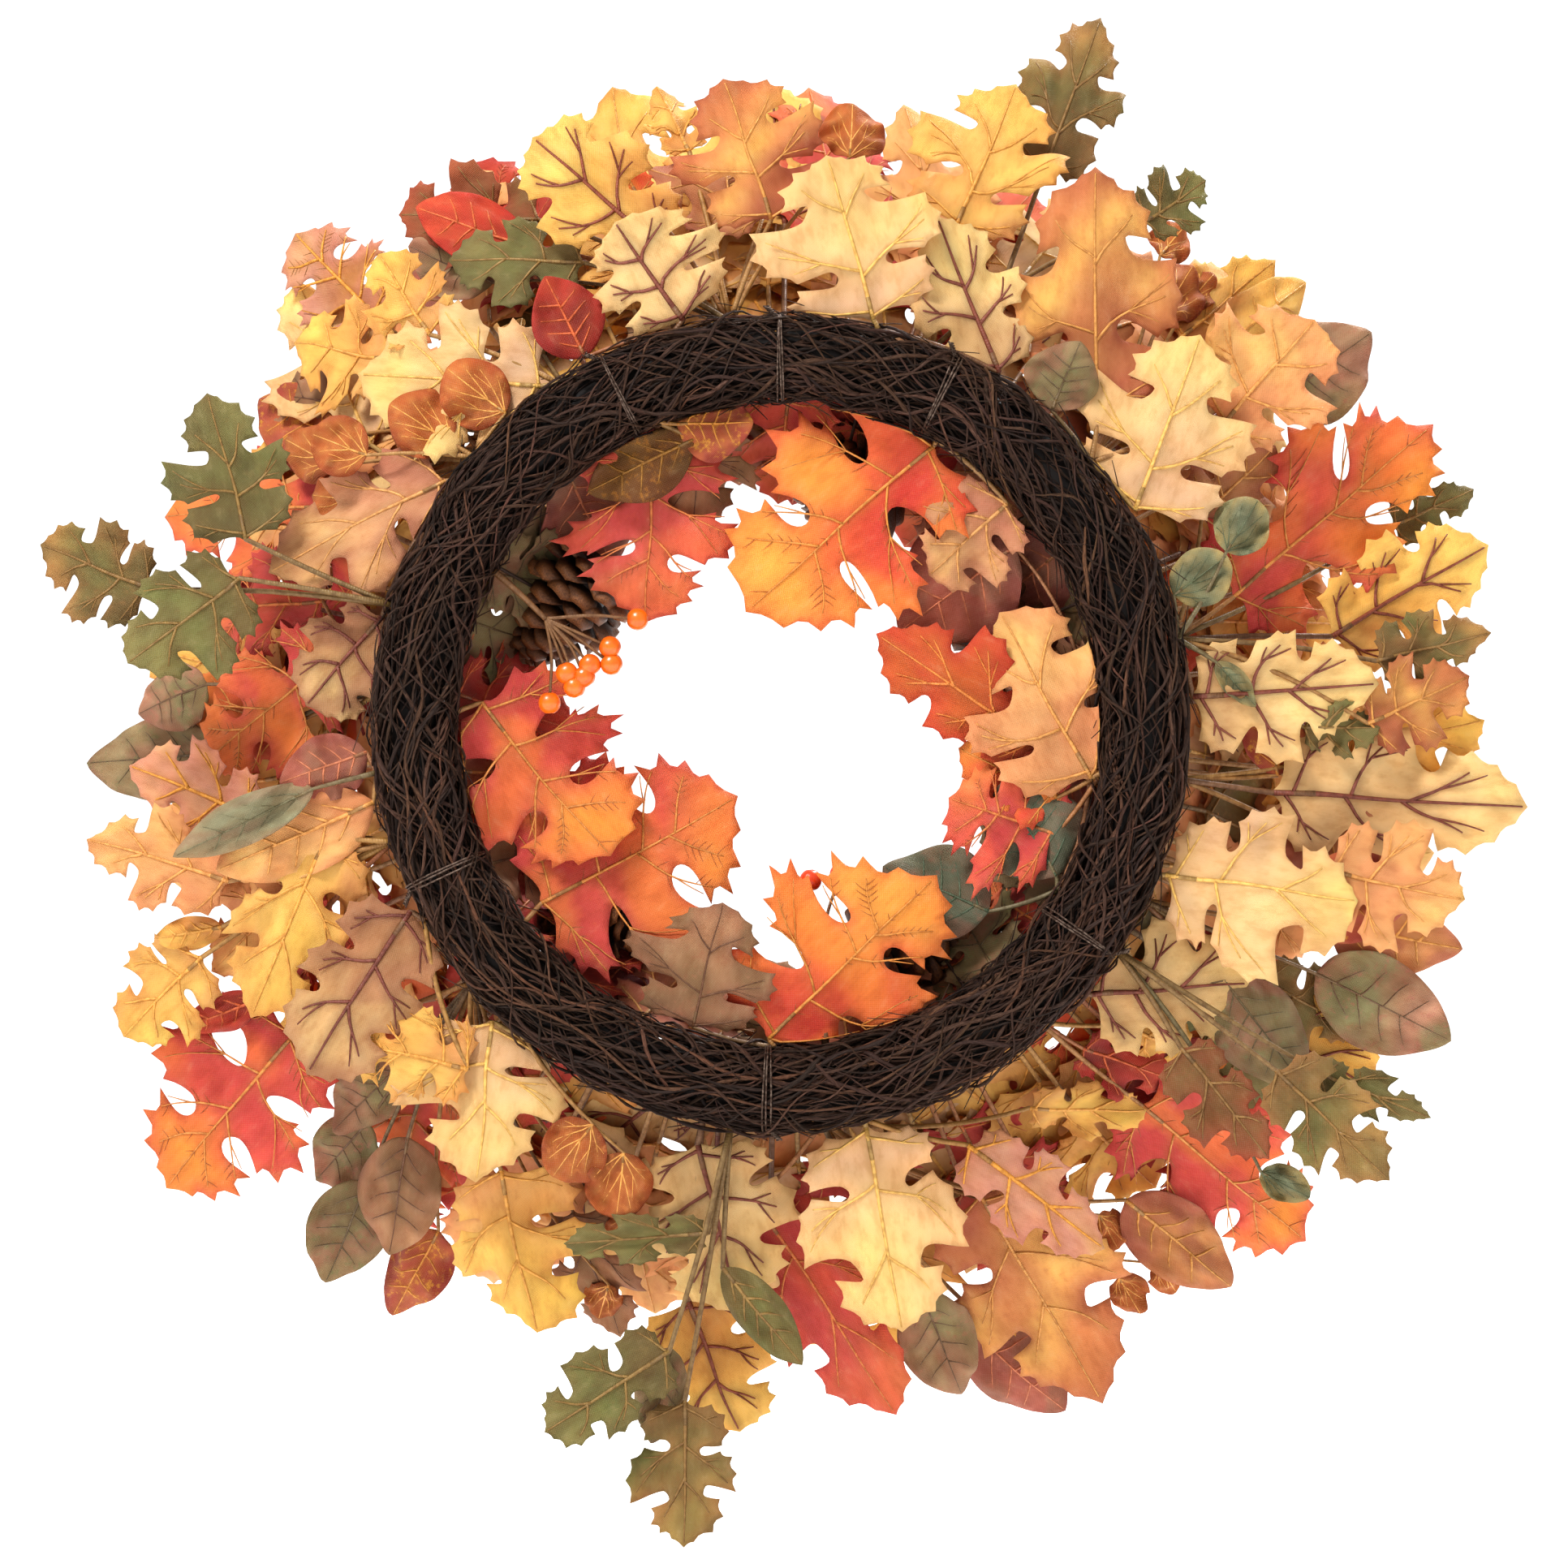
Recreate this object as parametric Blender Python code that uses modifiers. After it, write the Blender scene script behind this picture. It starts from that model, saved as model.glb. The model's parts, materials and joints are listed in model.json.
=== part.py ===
"""Harvest door wreath: a bound twig ring on a wire hoop, with wired leaf, berry and pinecone picks.

Frame: +Z up, the display side faces -Y and the door is on the +Y side. The origin is where a door hook
carries the ring: the middle of the flat inside the top binding wire.
Every leaf lies on a cone round the ring's centre circle, and is placed by three ring coordinates:
  angle   degrees round the ring, seen from the door side, counter-clockwise from +X reversed
  reach   distance from the ring's centre circle
  tilt    degrees from straight outwards (0) through the display side (90) to straight inwards (180)
Leaves are stacked from the door side to the display side, each just clear of the ones before it.
"""

import math

import bmesh
import bpy
from mathutils import Matrix, Vector

MM = 0.001

# Driving dimensions
RING_RADIUS = 145 * MM
BUNDLE_COUNT = 3
BUNDLE_RADIUS = 7.1 * MM
BUNDLE_OFFSET = 9.0 * MM
BUNDLE_TURNS = 4
RING_SEGMENTS = 40
HOOP_WIRE_RADIUS = 1.4 * MM
BACK_FLAT = 13.95 * MM
TIE_RADIUS = 17.2 * MM
TIE_WIDTH = 4.0 * MM
TIE_THICKNESS = 0.8 * MM
TIE_BACK = 14.3 * MM
TIE_SIDES = 16
TIE_ANGLES = (63, 90, 116, 204, 268, 325)

SEAT_ABOVE_CENTRE = RING_RADIUS - TIE_RADIUS * math.cos(math.pi / TIE_SIDES) - TIE_THICKNESS
RING_CENTRE = Vector((0, 0, -SEAT_ABOVE_CENTRE))

LEAF_THICKNESS = 0.8 * MM
PETIOLE_HALF_WIDTH = 1.2 * MM
ROOT_REACH = 21.3 * MM
ROOT_RADIUS = 2.8 * MM
ROOT_PAD = 1.6 * MM
LEAF_START = 25.5 * MM
LEAST_REACH = 19 * MM
LAYER_GAP = 1.25 * MM
LAYER_TURN = math.radians(2.7)
SWING_GAP = 1.6 * MM
SWING_TURN = math.radians(4.0)
SWING = 6.0
CELL_ANGLE = 2.0
CELL_REACH = 4 * MM
EDGE_MARGIN = 2 * MM
BERRY_RADIUS = 4.3 * MM
TWIG_RADIUS = 0.9 * MM
CONE_RADIUS = 22 * MM
CONE_LENGTH = 46 * MM
CONE_SCALE_ROWS = 5

# Outlines: (place along the leaf, half width as a share of the leaf's width)
OAK = ((0, 0.05), (0.22, 0.4), (0.36, 0.22), (0.6, 0.5), (0.78, 0.26), (1, 0))
MAPLE = ((0, 0.05), (0.14, 0.4), (0.28, 0.24), (0.5, 0.5), (0.72, 0.22), (1, 0))
OVAL = ((0, 0.05), (0.28, 0.44), (0.64, 0.48), (1, 0))
DISC = ((0, 0.15), (0.25, 0.47), (0.7, 0.5), (1, 0.2))

CREAM = (0.78, 0.60, 0.34)
YELLOW = (0.72, 0.47, 0.13)
PEACH = (0.72, 0.40, 0.18)
AMBER = (0.62, 0.27, 0.05)
RED = (0.52, 0.07, 0.02)
BROWN_RED = (0.36, 0.10, 0.05)
RUST = (0.38, 0.11, 0.03)
GREEN = (0.20, 0.20, 0.05)
SAGE = (0.30, 0.30, 0.20)
MAUVE = (0.26, 0.15, 0.12)
TWIG = (0.065, 0.036, 0.022)
WIRE = (0.03, 0.02, 0.015)
CONE_BROWN = (0.12, 0.055, 0.03)
ORANGE = (0.75, 0.20, 0.02)
BERRY_RED = (0.55, 0.03, 0.01)

# Each leaf: (outline, (radius, angle) of its base, (radius, angle) of its tip, width), in mm and degrees.
# A pick's first two values are its colour and the angle where its stem leaves the ring.
SWINGING_NEAR = {
    "green_oak_pick_left": (GREEN, 163, (
        (OAK, (222, 165), (258, 175), 50),
        (OAK, (256, 168), (303, 166.5), 44),
        (OAK, (225, 161), (260, 150), 52),
    )),
    "green_oak_pick_bottom": (GREEN, 263, (
        (OAK, (253, 260), (298, 251), 38),
        (OAK, (272, 262), (331, 263.5), 42),
        (OVAL, (218, 264), (257, 272), 20),
    )),
    "green_oak_pick_lower_right": (GREEN, 326, (
        (OAK, (240, 325), (302, 323), 40),
        (OAK, (205, 321), (262, 318.5), 34),
    )),
}
NEAR = {
    "sage_leaf_pick_left": (SAGE, 187, (
        (OVAL, (187, 188), (247, 192.5), 20),
        (OVAL, (170, 184), (200, 187), 27),
        (OVAL, (170, 191), (232, 195), 34),
    )),
    "eucalyptus_pick_right": (SAGE, 12, (
        (DISC, (171, 18), (190, 20.5), 24),
        (DISC, (190, 21), (210, 25), 23),
        (OVAL, (175, 8), (190, 2), 11),
        (OAK, (170, 3.7), (238, 3.2), 55),
        (OAK, (235, 0), (277, 3.6), 40),
    )),
    "cream_oak_pick_right": (CREAM, 338, (
        (OAK, (170, 338.5), (242, 343), 67),
        (OAK, (225, 345), (282, 345), 54),
        (OVAL, (218, 340), (262, 346.5), 38),
    )),
    "purple_vein_pick_right": (YELLOW, 352, (
        (OAK, (199, 352), (301, 354), 60),
        (OVAL, (200, 349), (255, 348), 34),
    )),
    "oak_pick_upper_right": (CREAM, 40, (
        (OVAL, (170, 49), (192, 52), 30),
        (OAK, (170, 31), (228, 43), 74),
        (OAK, (176, 44), (256, 61), 70),
        (OAK, (213, 34), (270, 37), 64),
    )),
    "cream_oak_pick_top": (CREAM, 76, (
        (OAK, (170, 77), (231, 85), 76),
        (OAK, (171, 58), (210, 73), 50),
    )),
    "purple_vein_pick_top_left": (YELLOW, 105, (
        (OAK, (170, 103.5), (211, 108), 58),
        (OVAL, (170, 118), (200, 118), 30),
        (OAK, (196, 104.5), (258, 113), 55),
    )),
    "cream_oak_pick_upper_left": (CREAM, 123, (
        (OAK, (170, 125.4), (220, 139.5), 69),
        (OAK, (209, 132), (246, 131), 40),
    )),
    "pink_oak_pick_left": (PEACH, 143, (
        (OAK, (170, 144), (213, 163), 56),
        (OAK, (170, 165), (190, 178), 48),
    )),
    "rust_leaf_cluster_upper_left": (RUST, 139, (
        (DISC, (170, 131), (192, 133), 26),
        (DISC, (174, 140), (198, 141), 28),
        (DISC, (208, 150), (231, 150), 25),
        (DISC, (190, 152), (212, 154), 24),
    )),
    "purple_vein_pick_lower_left": (CREAM, 209, (
        (OAK, (170, 207), (236, 216), 58),
        (MAPLE, (185, 228), (214, 216), 44),
    )),
    "cream_oak_pick_lower_left": (CREAM, 231, (
        (OAK, (170, 226), (218, 236), 69),
        (DISC, (176, 245), (202, 243), 28),
        (DISC, (182, 250), (208, 252), 28),
    )),
    "purple_vein_pick_bottom": (YELLOW, 259, (
        (OAK, (171, 259), (234, 266), 66),
        (OAK, (235, 261), (290, 266.4), 55),
    )),
    "cream_oak_pick_bottom": (CREAM, 282, (
        (OAK, (170, 282), (250, 281), 67),
        (OVAL, (184, 294), (246, 302), 34),
    )),
    "purple_vein_pick_lower_right": (CREAM, 318, (
        (OAK, (170, 319), (213, 331.5), 58),
        (OVAL, (205, 330), (255, 325), 36),
    )),
    "cream_oak_pick_top_right": (CREAM, 68, (
        (OAK, (211, 70.5), (276, 70), 64),
        (OAK, (250, 54), (280, 52), 30),
    )),
}
SWINGING_FAR = {
    "green_oak_pick_top_right": (GREEN, 62, (
        (OAK, (247, 64.5), (319, 65.3), 44),
    )),
}
FAR = {
    "red_maple_pick_right": (RED, 12, (
        (OAK, (225, 9), (297, 14.5), 54),
        (MAPLE, (189, 15.6), (293, 25), 72),
    )),
    "magnolia_pick_upper_right": (MAUVE, 40, (
        (OVAL, (240, 33), (290, 34), 45),
        (OVAL, (228, 40.5), (284, 40.3), 28),
        (DISC, (228, 47), (252, 48), 26),
    )),
    "oak_pick_top": (AMBER, 97, (
        (OAK, (200, 91), (258, 95), 62),
        (OAK, (200, 113), (231, 125.5), 39),
        (DISC, (229, 83), (252, 83), 28),
        (OVAL, (217, 118), (255, 125.3), 28),
        (OAK, (225, 115.5), (258, 127.5), 45),
    )),
    "yellow_maple_pick_upper_left": (YELLOW, 133, (
        (OAK, (218, 137), (251, 142), 50),
        (MAPLE, (236, 134.8), (281, 134.4), 50),
        (OVAL, (214, 147), (252, 148), 38),
    )),
    "yellow_oak_pick_left": (YELLOW, 197, (
        (OAK, (186, 194), (242, 209.6), 52),
        (OAK, (229, 196), (282, 189), 44),
        (OAK, (250, 202), (292, 205), 45),
    )),
    "red_maple_pick_left": (RED, 175, (
        (MAPLE, (184, 172.5), (235, 183.5), 60),
        (OVAL, (232, 176), (262, 179), 29),
        (OVAL, (225, 183), (286, 183), 36),
    )),
    "maple_pick_lower_left": (RED, 220, (
        (MAPLE, (231, 212.6), (311, 216.5), 76),
        (OAK, (211, 238), (265, 248), 64),
        (OVAL, (224, 228), (266, 234), 36),
        (OVAL, (250, 228), (292, 231), 34),
        (OVAL, (248, 236), (289, 237), 28),
    )),
    "oak_pick_bottom": (BROWN_RED, 276, (
        (OAK, (191, 267), (282, 279.5), 55),
        (OVAL, (237, 284), (284, 285), 32),
        (OAK, (205, 293), (302, 295), 74),
        (OVAL, (239, 306), (298, 309), 34),
    )),
    "red_maple_pick_lower_right": (RED, 311, (
        (MAPLE, (213, 313.5), (307, 315.4), 70),
    )),
    "magnolia_pick_lower_right": (MAUVE, 334, (
        (OVAL, (237, 335), (300, 335), 40),
        (OVAL, (235, 340), (290, 342), 34),
    )),
}
INNER = {
    "maple_pick_inner_top_left": (AMBER, 112, (
        (OVAL, (119, 109), (120, 95), 30),
        (OVAL, (118, 114), (124, 130), 31),
        (MAPLE, (118, 115), (68, 142), 74),
    )),
    "maple_pick_inner_left": (RED, 178, (
        (MAPLE, (119, 176), (91, 217), 82),
    )),
    "maple_pick_inner_top": (RED, 61, (
        (MAPLE, (119, 61), (52, 104), 92),
        (OAK, (119, 44), (82, 45), 48),
    )),
    "maple_pick_inner_lower_left": (RED, 218, (
        (MAPLE, (119, 217), (36, 243), 90),
    )),
    "maple_pick_inner_bottom": (AMBER, 269, (
        (MAPLE, (119, 268), (84, 316), 92),
        (OAK, (119, 254), (88, 250), 54),
    )),
    "oak_pick_inner_right": (PEACH, 351, (
        (OAK, (119, 350), (95, 27), 74),
        (OVAL, (106, 355), (52, 43), 40),
        (MAPLE, (118, 338), (72, 337), 64),
    )),
    "magnolia_pick_inner_right": (SAGE, 329, (
        (OVAL, (119, 331), (93, 345), 42),
        (OVAL, (112, 318), (70, 306), 40),
        (OVAL, (117, 37), (61, 38), 50),
    )),
}
# Display-side picks: name -> (colour, angle); each holds the same spray of five leaves, mirrored in turn
DISPLAY = {
    "display_pick_right": (PEACH, 8),
    "display_pick_upper_right": (CREAM, 50),
    "display_pick_top": (RED, 100),
    "display_pick_left": (AMBER, 170),
    "display_pick_lower_left": (YELLOW, 232),
    "display_pick_bottom": (RED, 292),
}
# A spray: (outline, (reach, turn) of the base, (reach, turn) of the tip, width, least tilt)
SPRAY = (
    (MAPLE, (34, -5), (106, -15), 72, 62),
    (OAK, (36, 5), (108, 15), 64, 62),
    (OAK, (32, -2), (96, 2), 60, 66),
    (MAPLE, (30, -4), (82, -10), 58, 84),
    (OAK, (30, 5), (84, 11), 52, 84),
)
# Berry picks: name -> (colour, angle of the root, (radius, angle) of the fork, the same for each berry)
HANGING_BERRIES = (ORANGE, 152, (102, 156), ((70, 144), (74, 156), (79, 163), (83, 170), (92, 175)))
TUCKED_BERRIES = (BERRY_RED, 278, (98, 280), ((72, 273), (64, 281), (65, 292)))
# Pinecones: name -> (reach, angle) of the middle, degrees turned in its own plane
PINECONES = {
    "pinecone_left": ((60, 151), 20),
    "pinecone_lower_left": ((58, 229), -25),
    "pinecone_bottom": ((58, 305), 30),
    "pinecone_right": ((60, 22), -15),
    "pinecone_top": ((56, 76), 15),
}


def clear_scene():
    for existing in list(bpy.data.objects):
        bpy.data.objects.remove(existing, do_unlink=True)


def new_collection(name):
    collection = bpy.data.collections.new(name)
    bpy.context.scene.collection.children.link(collection)
    return collection


def make_material(name, colour, roughness=0.7, metallic=0.0):
    material = bpy.data.materials.new(name)
    material.use_nodes = True
    shader = material.node_tree.nodes["Principled BSDF"]
    shader.inputs["Base Color"].default_value = (*colour, 1)
    shader.inputs["Roughness"].default_value = roughness
    shader.inputs["Metallic"].default_value = metallic
    return material


def outward(angle):
    """Unit vector from the ring's centre towards this angle."""
    turn = math.radians(angle)
    return Vector((-math.cos(turn), 0, math.sin(turn)))


def along(angle):
    """Unit vector along the ring, in the direction of growing angle."""
    turn = math.radians(angle)
    return Vector((math.sin(turn), 0, math.cos(turn)))


def ring_point(angle, reach, tilt, lift=0.0):
    """Point in ring coordinates; lift moves it off its cone, towards a larger tilt."""
    display = Vector((0, -1, 0))
    away = outward(angle)
    cos, sin = math.cos(tilt), math.sin(tilt)
    direction = away * cos + display * sin
    normal = display * cos - away * sin
    return RING_CENTRE + away * RING_RADIUS + direction * reach + normal * lift


class Cone:
    """The cone of one tilt, unrolled flat, so that a leaf drawn on it keeps its shape."""

    def __init__(self, tilt, near_angle):
        cos = math.cos(tilt)
        self.sign = 1 if cos >= 0 else -1
        self.shrink = max(abs(cos), 0.02)
        self.edge = RING_RADIUS / self.shrink
        self.near = near_angle

    def flat(self, angle, reach):
        slant = self.edge + self.sign * reach
        turn = math.radians(angle - self.near) * self.shrink
        return Vector((slant * math.cos(turn), slant * math.sin(turn)))

    def unflat(self, point):
        """Angle and reach of a point on the flat, held off the twig ring."""
        turn = math.atan2(point.y, point.x)
        reach = self.sign * (point.length - self.edge)
        return self.near + math.degrees(turn / self.shrink), max(reach, LEAST_REACH)


def unwrapped(angle, near):
    """The same angle, within half a turn of near."""
    return near + (angle - near + 180) % 360 - 180


def leaf_stations(leaf, root_angle, tilt, by_reach):
    """Middle, direction across and half width of each section, from the stem's root to the leaf's tip."""
    outline, base, tip, width = leaf
    places = []
    for distance, angle in (base, tip):
        reach = distance * MM
        if not by_reach:
            reach = (reach - RING_RADIUS) / math.cos(tilt)
        places.append((unwrapped(angle, root_angle), max(reach, LEAF_START)))
    (base_angle, base_reach), (tip_angle, tip_reach) = places
    cone = Cone(tilt, base_angle)
    steps = max(1, round(abs(base_angle - root_angle) / 6))
    middles = []
    for step in range(steps):
        share = step / steps
        middles.append(cone.flat(root_angle + (base_angle - root_angle) * share,
                                 ROOT_REACH + (base_reach - ROOT_REACH) * share))
    base_point = cone.flat(base_angle, base_reach)
    tip_point = cone.flat(tip_angle, tip_reach)
    axis = tip_point - base_point
    stations = []
    for index, middle in enumerate(middles):
        following = middles[index + 1] if index + 1 < len(middles) else base_point
        heading = (following - middle).normalized()
        stations.append((middle, Vector((-heading.y, heading.x)), PETIOLE_HALF_WIDTH))
    heading = axis.normalized()
    across = Vector((-heading.y, heading.x))
    for place, share in outline:
        half = max(share * width * MM, PETIOLE_HALF_WIDTH if place == 0 else 0)
        stations.append((base_point + axis * place, across, half))
    return cone, stations


class Stack:
    """How far towards the display side each patch round the ring is already filled."""

    def __init__(self, first_tilt, inner=False):
        self.first = first_tilt
        self.inner = inner
        self.filled = {}

    def own(self, tilt):
        return math.pi - tilt if self.inner else tilt

    def cell(self, angle, reach):
        return int(angle % 360 // CELL_ANGLE), int(reach // CELL_REACH)

    def footprint(self, leaf, root_angle, tilt, by_reach, swing=0.0):
        cone, stations = leaf_stations(leaf, root_angle, tilt, by_reach)
        cells = {}
        root = cone.flat(root_angle, ROOT_REACH)
        swings = [math.radians(swing * share) for share in (-1, -0.5, 0, 0.5, 1)] if swing else [0]
        for (middle, across, half), (middle_2, across_2, half_2) in zip(stations, stations[1:]):
            steps = max(2, int((middle_2 - middle).length / (2 * MM)))
            for step in range(steps + 1):
                share = step / steps
                centre = middle.lerp(middle_2, share)
                side = across.lerp(across_2, share)
                wide = half + (half_2 - half) * share + EDGE_MARGIN
                spread = max(1, int(wide / (2 * MM)))
                for offset in range(-spread, spread + 1):
                    spot = centre + side * (wide * offset / spread)
                    for turn in swings:
                        moved = root + Matrix.Rotation(turn, 2) @ (spot - root)
                        angle, reach = cone.unflat(moved)
                        key = self.cell(angle, reach)
                        cells[key] = min(cells.get(key, reach), reach)
        return cells

    def clearance(self, reach, swing):
        gap, turn = (SWING_GAP, SWING_TURN) if swing else (LAYER_GAP, LAYER_TURN)
        return max(gap / max(reach, ROOT_REACH), turn)

    def place(self, leaf, root_angle, lowest, siblings, by_reach=False, swing=0.0):
        """The smallest tilt (from the door side) at which this leaf clears everything placed before it."""
        own_tilt = max(self.first, lowest)
        for _ in range(6):
            cells = self.footprint(leaf, root_angle, self.own(own_tilt), by_reach, swing)
            needed = own_tilt
            for key, reach in cells.items():
                if key in self.filled:
                    needed = max(needed, self.filled[key] + self.clearance(reach, swing))
                if key in siblings:
                    needed = max(needed, siblings[key][0] + self.clearance(reach, 0))
            if needed <= own_tilt + 1e-9:
                break
            own_tilt = needed
        for key, reach in cells.items():
            siblings[key] = (own_tilt, reach)
        return own_tilt

    def settle(self, siblings, swing):
        """Add a finished pick, with the room that it needs to swing."""
        for key, (tilt, reach) in siblings.items():
            extra = self.clearance(reach, swing) - self.clearance(reach, 0)
            self.filled[key] = max(self.filled.get(key, -9), tilt + extra)

    def root_cells(self, angle):
        half = math.degrees((ROOT_RADIUS + EDGE_MARGIN / 2) / (RING_RADIUS + ROOT_REACH))
        cells = set()
        for turn in (-half, 0, half):
            for reach in (ROOT_REACH - ROOT_RADIUS, ROOT_REACH, ROOT_REACH + ROOT_RADIUS):
                cells.add(self.cell(angle + turn, reach))
        return cells


def stacked_pick(stack, root_angle, leaves, by_reach=False, swing=0.0, lowest=None):
    """Tilts for a pick's leaves, in order, with its root clear of what its neighbours filled."""
    pad = ROOT_PAD / ROOT_REACH
    cells = stack.root_cells(root_angle)
    start = max([stack.first] + [stack.filled[key] + 2 * pad for key in cells if key in stack.filled])
    tilts = []
    siblings = {}
    for leaf, least in zip(leaves, lowest or [stack.first] * len(leaves)):
        least = max([start, least] + tilts)
        tilts.append(stack.place(leaf, root_angle, least, siblings, by_reach, swing))
    stack.settle(siblings, swing)
    for key in cells:
        stack.filled[key] = max(stack.filled.get(key, -9), max(tilts) + pad)
    return tilts


def mesh_object(name, mesh):
    made = bpy.data.objects.new(name, mesh)
    bpy.context.scene.collection.objects.link(made)
    return made


def evaluated_mesh(source, weld=True):
    """The object's mesh with its modifiers applied, in world space, and its loose caps welded."""
    graph = bpy.context.evaluated_depsgraph_get()
    mesh = bpy.data.meshes.new_from_object(source.evaluated_get(graph))
    mesh.transform(source.matrix_world)
    if not weld:
        return mesh
    work = bmesh.new()
    work.from_mesh(mesh)
    bmesh.ops.remove_doubles(work, verts=work.verts, dist=0.00001)
    bmesh.ops.recalc_face_normals(work, faces=work.faces)
    work.to_mesh(mesh)
    work.free()
    return mesh


def settled(source, name):
    """Replace an object by its evaluated mesh."""
    mesh = evaluated_mesh(source)
    bpy.data.objects.remove(source, do_unlink=True)
    return mesh_object(name, mesh)


def leaf_solid(leaf, root_angle, tilt, by_reach):
    """One leaf with its petiole: a sheet lofted along the midrib on its cone, then thickened."""
    cone, stations = leaf_stations(leaf, root_angle, tilt, by_reach)
    work = bmesh.new()
    rows = []
    for middle, across, half in stations:
        sides = (-1, 1) if half > 0 else (0,)
        row = []
        for side in sides:
            angle, reach = cone.unflat(middle + across * (half * side))
            row.append(work.verts.new(ring_point(angle, reach, tilt)))
        rows.append(row)
    for row, following in zip(rows, rows[1:]):
        corners = row + list(reversed(following))
        work.faces.new(corners)
    mesh = bpy.data.meshes.new("leaf")
    bmesh.ops.triangulate(work, faces=work.faces)
    work.to_mesh(mesh)
    work.free()
    sheet = mesh_object("leaf", mesh)
    thicken = sheet.modifiers.new("thickness", "SOLIDIFY")
    thicken.thickness = LEAF_THICKNESS
    thicken.offset = 0
    return settled(sheet, "leaf")


def tube(points, radius, sides_level=1):
    """A round wire through the points."""
    curve = bpy.data.curves.new("tube", "CURVE")
    curve.dimensions = "3D"
    curve.bevel_depth = radius
    curve.bevel_resolution = sides_level
    curve.use_fill_caps = True
    spline = curve.splines.new("POLY")
    spline.points.add(len(points) - 1)
    for knot, point in zip(spline.points, points):
        knot.co = (*point, 1)
    return settled(mesh_object("tube", curve), "tube")


def root_solid(root_angle, tilts):
    """The wrapped end of a pick's stem, which spans the tilts of all its leaves."""
    pad = ROOT_PAD / ROOT_REACH
    low, high = min(tilts) - pad, max(tilts) + pad
    steps = max(1, math.ceil((high - low) / math.radians(14)))
    points = []
    for step in range(steps + 1):
        points.append(ring_point(root_angle, ROOT_REACH, low + (high - low) * step / steps))
    return tube(points, ROOT_RADIUS)


def ball(centre, radius):
    bpy.ops.mesh.primitive_uv_sphere_add(segments=7, ring_count=5, radius=radius, location=centre)
    return settled(bpy.context.active_object, "ball")


def fused(name, pieces, material, collection, pivot=None):
    """Union of the pieces as one named object, with its origin at pivot.

    Leaves meet their stem almost edge on, where the MANIFOLD solver keeps every piece and EXACT loses some.
    """
    first, others = pieces[0], pieces[1:]
    for other in others:
        join = first.modifiers.new("join", "BOOLEAN")
        join.operation = "UNION"
        join.solver = "MANIFOLD"
        join.object = other
    mesh = evaluated_mesh(first, weld=False)
    for piece in pieces:
        bpy.data.objects.remove(piece, do_unlink=True)
    return named(name, mesh, material, collection, pivot)


def named(name, mesh, material, collection, pivot=None, smooth=False):
    if pivot is not None:
        mesh.transform(Matrix.Translation(-pivot))
    mesh.name = name
    mesh.materials.clear()
    mesh.materials.append(material)
    if smooth:
        mesh.shade_smooth()
        mesh.set_sharp_from_angle(angle=math.radians(40))
    made = bpy.data.objects.new(name, mesh)
    if pivot is not None:
        made.location = pivot
    collection.objects.link(made)
    return made


def leaf_pick(name, colour, root_angle, leaves, tilts, collection, by_reach=False, pivot=None):
    pieces = [root_solid(root_angle, tilts)]
    for leaf, tilt in zip(leaves, tilts):
        pieces.append(leaf_solid(leaf, root_angle, tilt, by_reach))
    return fused(name, pieces, make_material(name, colour), collection, pivot)


def outer_picks(collection):
    """All picks that fan outwards, from the door side to the display side."""
    stack = Stack(math.radians(-3))
    layers = ((SWINGING_NEAR, SWING), (NEAR, 0), (SWINGING_FAR, SWING), (FAR, 0))
    for picks, swing in layers:
        for name, (colour, angle, leaves) in picks.items():
            tilts = stacked_pick(stack, angle, leaves, swing=swing)
            pivot = ring_point(angle, ROOT_REACH, tilts[0]) if swing else None
            leaf_pick(name, colour, angle, leaves, tilts, collection, pivot=pivot)
            report(name, tilts, pivot)
    for number, (name, (colour, angle)) in enumerate(DISPLAY.items()):
        leaves, lowest = display_spray(angle, -1 if number % 2 else 1)
        tilts = stacked_pick(stack, angle, leaves, True, lowest=lowest)
        leaf_pick(name, colour, angle, leaves, tilts, collection, by_reach=True)
        report(name, tilts, None)


def display_spray(angle, hand):
    """The leaves of one display-side pick, and the least tilt of each."""
    leaves, lowest = [], []
    for outline, base, tip, width, tilt in SPRAY:
        base_place = (base[0], angle + base[1] * hand)
        tip_place = (tip[0], angle + tip[1] * hand)
        leaves.append((outline, base_place, tip_place, width))
        lowest.append(math.radians(tilt))
    return leaves, lowest


def inner_picks(collection):
    """The berry spray nearest the door, then the picks that fan into the opening, then the pinecones."""
    stack = Stack(math.radians(-2), inner=True)
    berry_pick("orange_berry_pick", HANGING_BERRIES, stack, collection, swings=True)
    for name, (colour, angle, leaves) in INNER.items():
        tilts = stacked_pick(stack, angle, leaves)
        real_tilts = [math.pi - tilt for tilt in tilts]
        leaf_pick(name, colour, angle, leaves, real_tilts, collection)
        report(name, real_tilts, None)
    berry_pick("red_berry_pick", TUCKED_BERRIES, stack, collection)
    for name, (middle, turn) in PINECONES.items():
        pinecone(name, middle, turn, stack, collection)


def berry_cells(stack, start, end, swings):
    """Patches that a twig with a berry at its end covers, with the least reach in each."""
    cells = {}
    spread = 9 if swings else 3
    for step in range(41):
        radius = start[0] + (end[0] - start[0]) * step / 40
        angle = start[1] + (end[1] - start[1]) * step / 40
        for turn in range(-spread, spread + 1, 2):
            for inch in (-6, 0, 6):
                reach = max(RING_RADIUS - (radius + inch) * MM, ROOT_REACH)
                key = stack.cell(angle + turn, reach)
                cells[key] = min(cells.get(key, reach), reach)
    return cells


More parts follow.
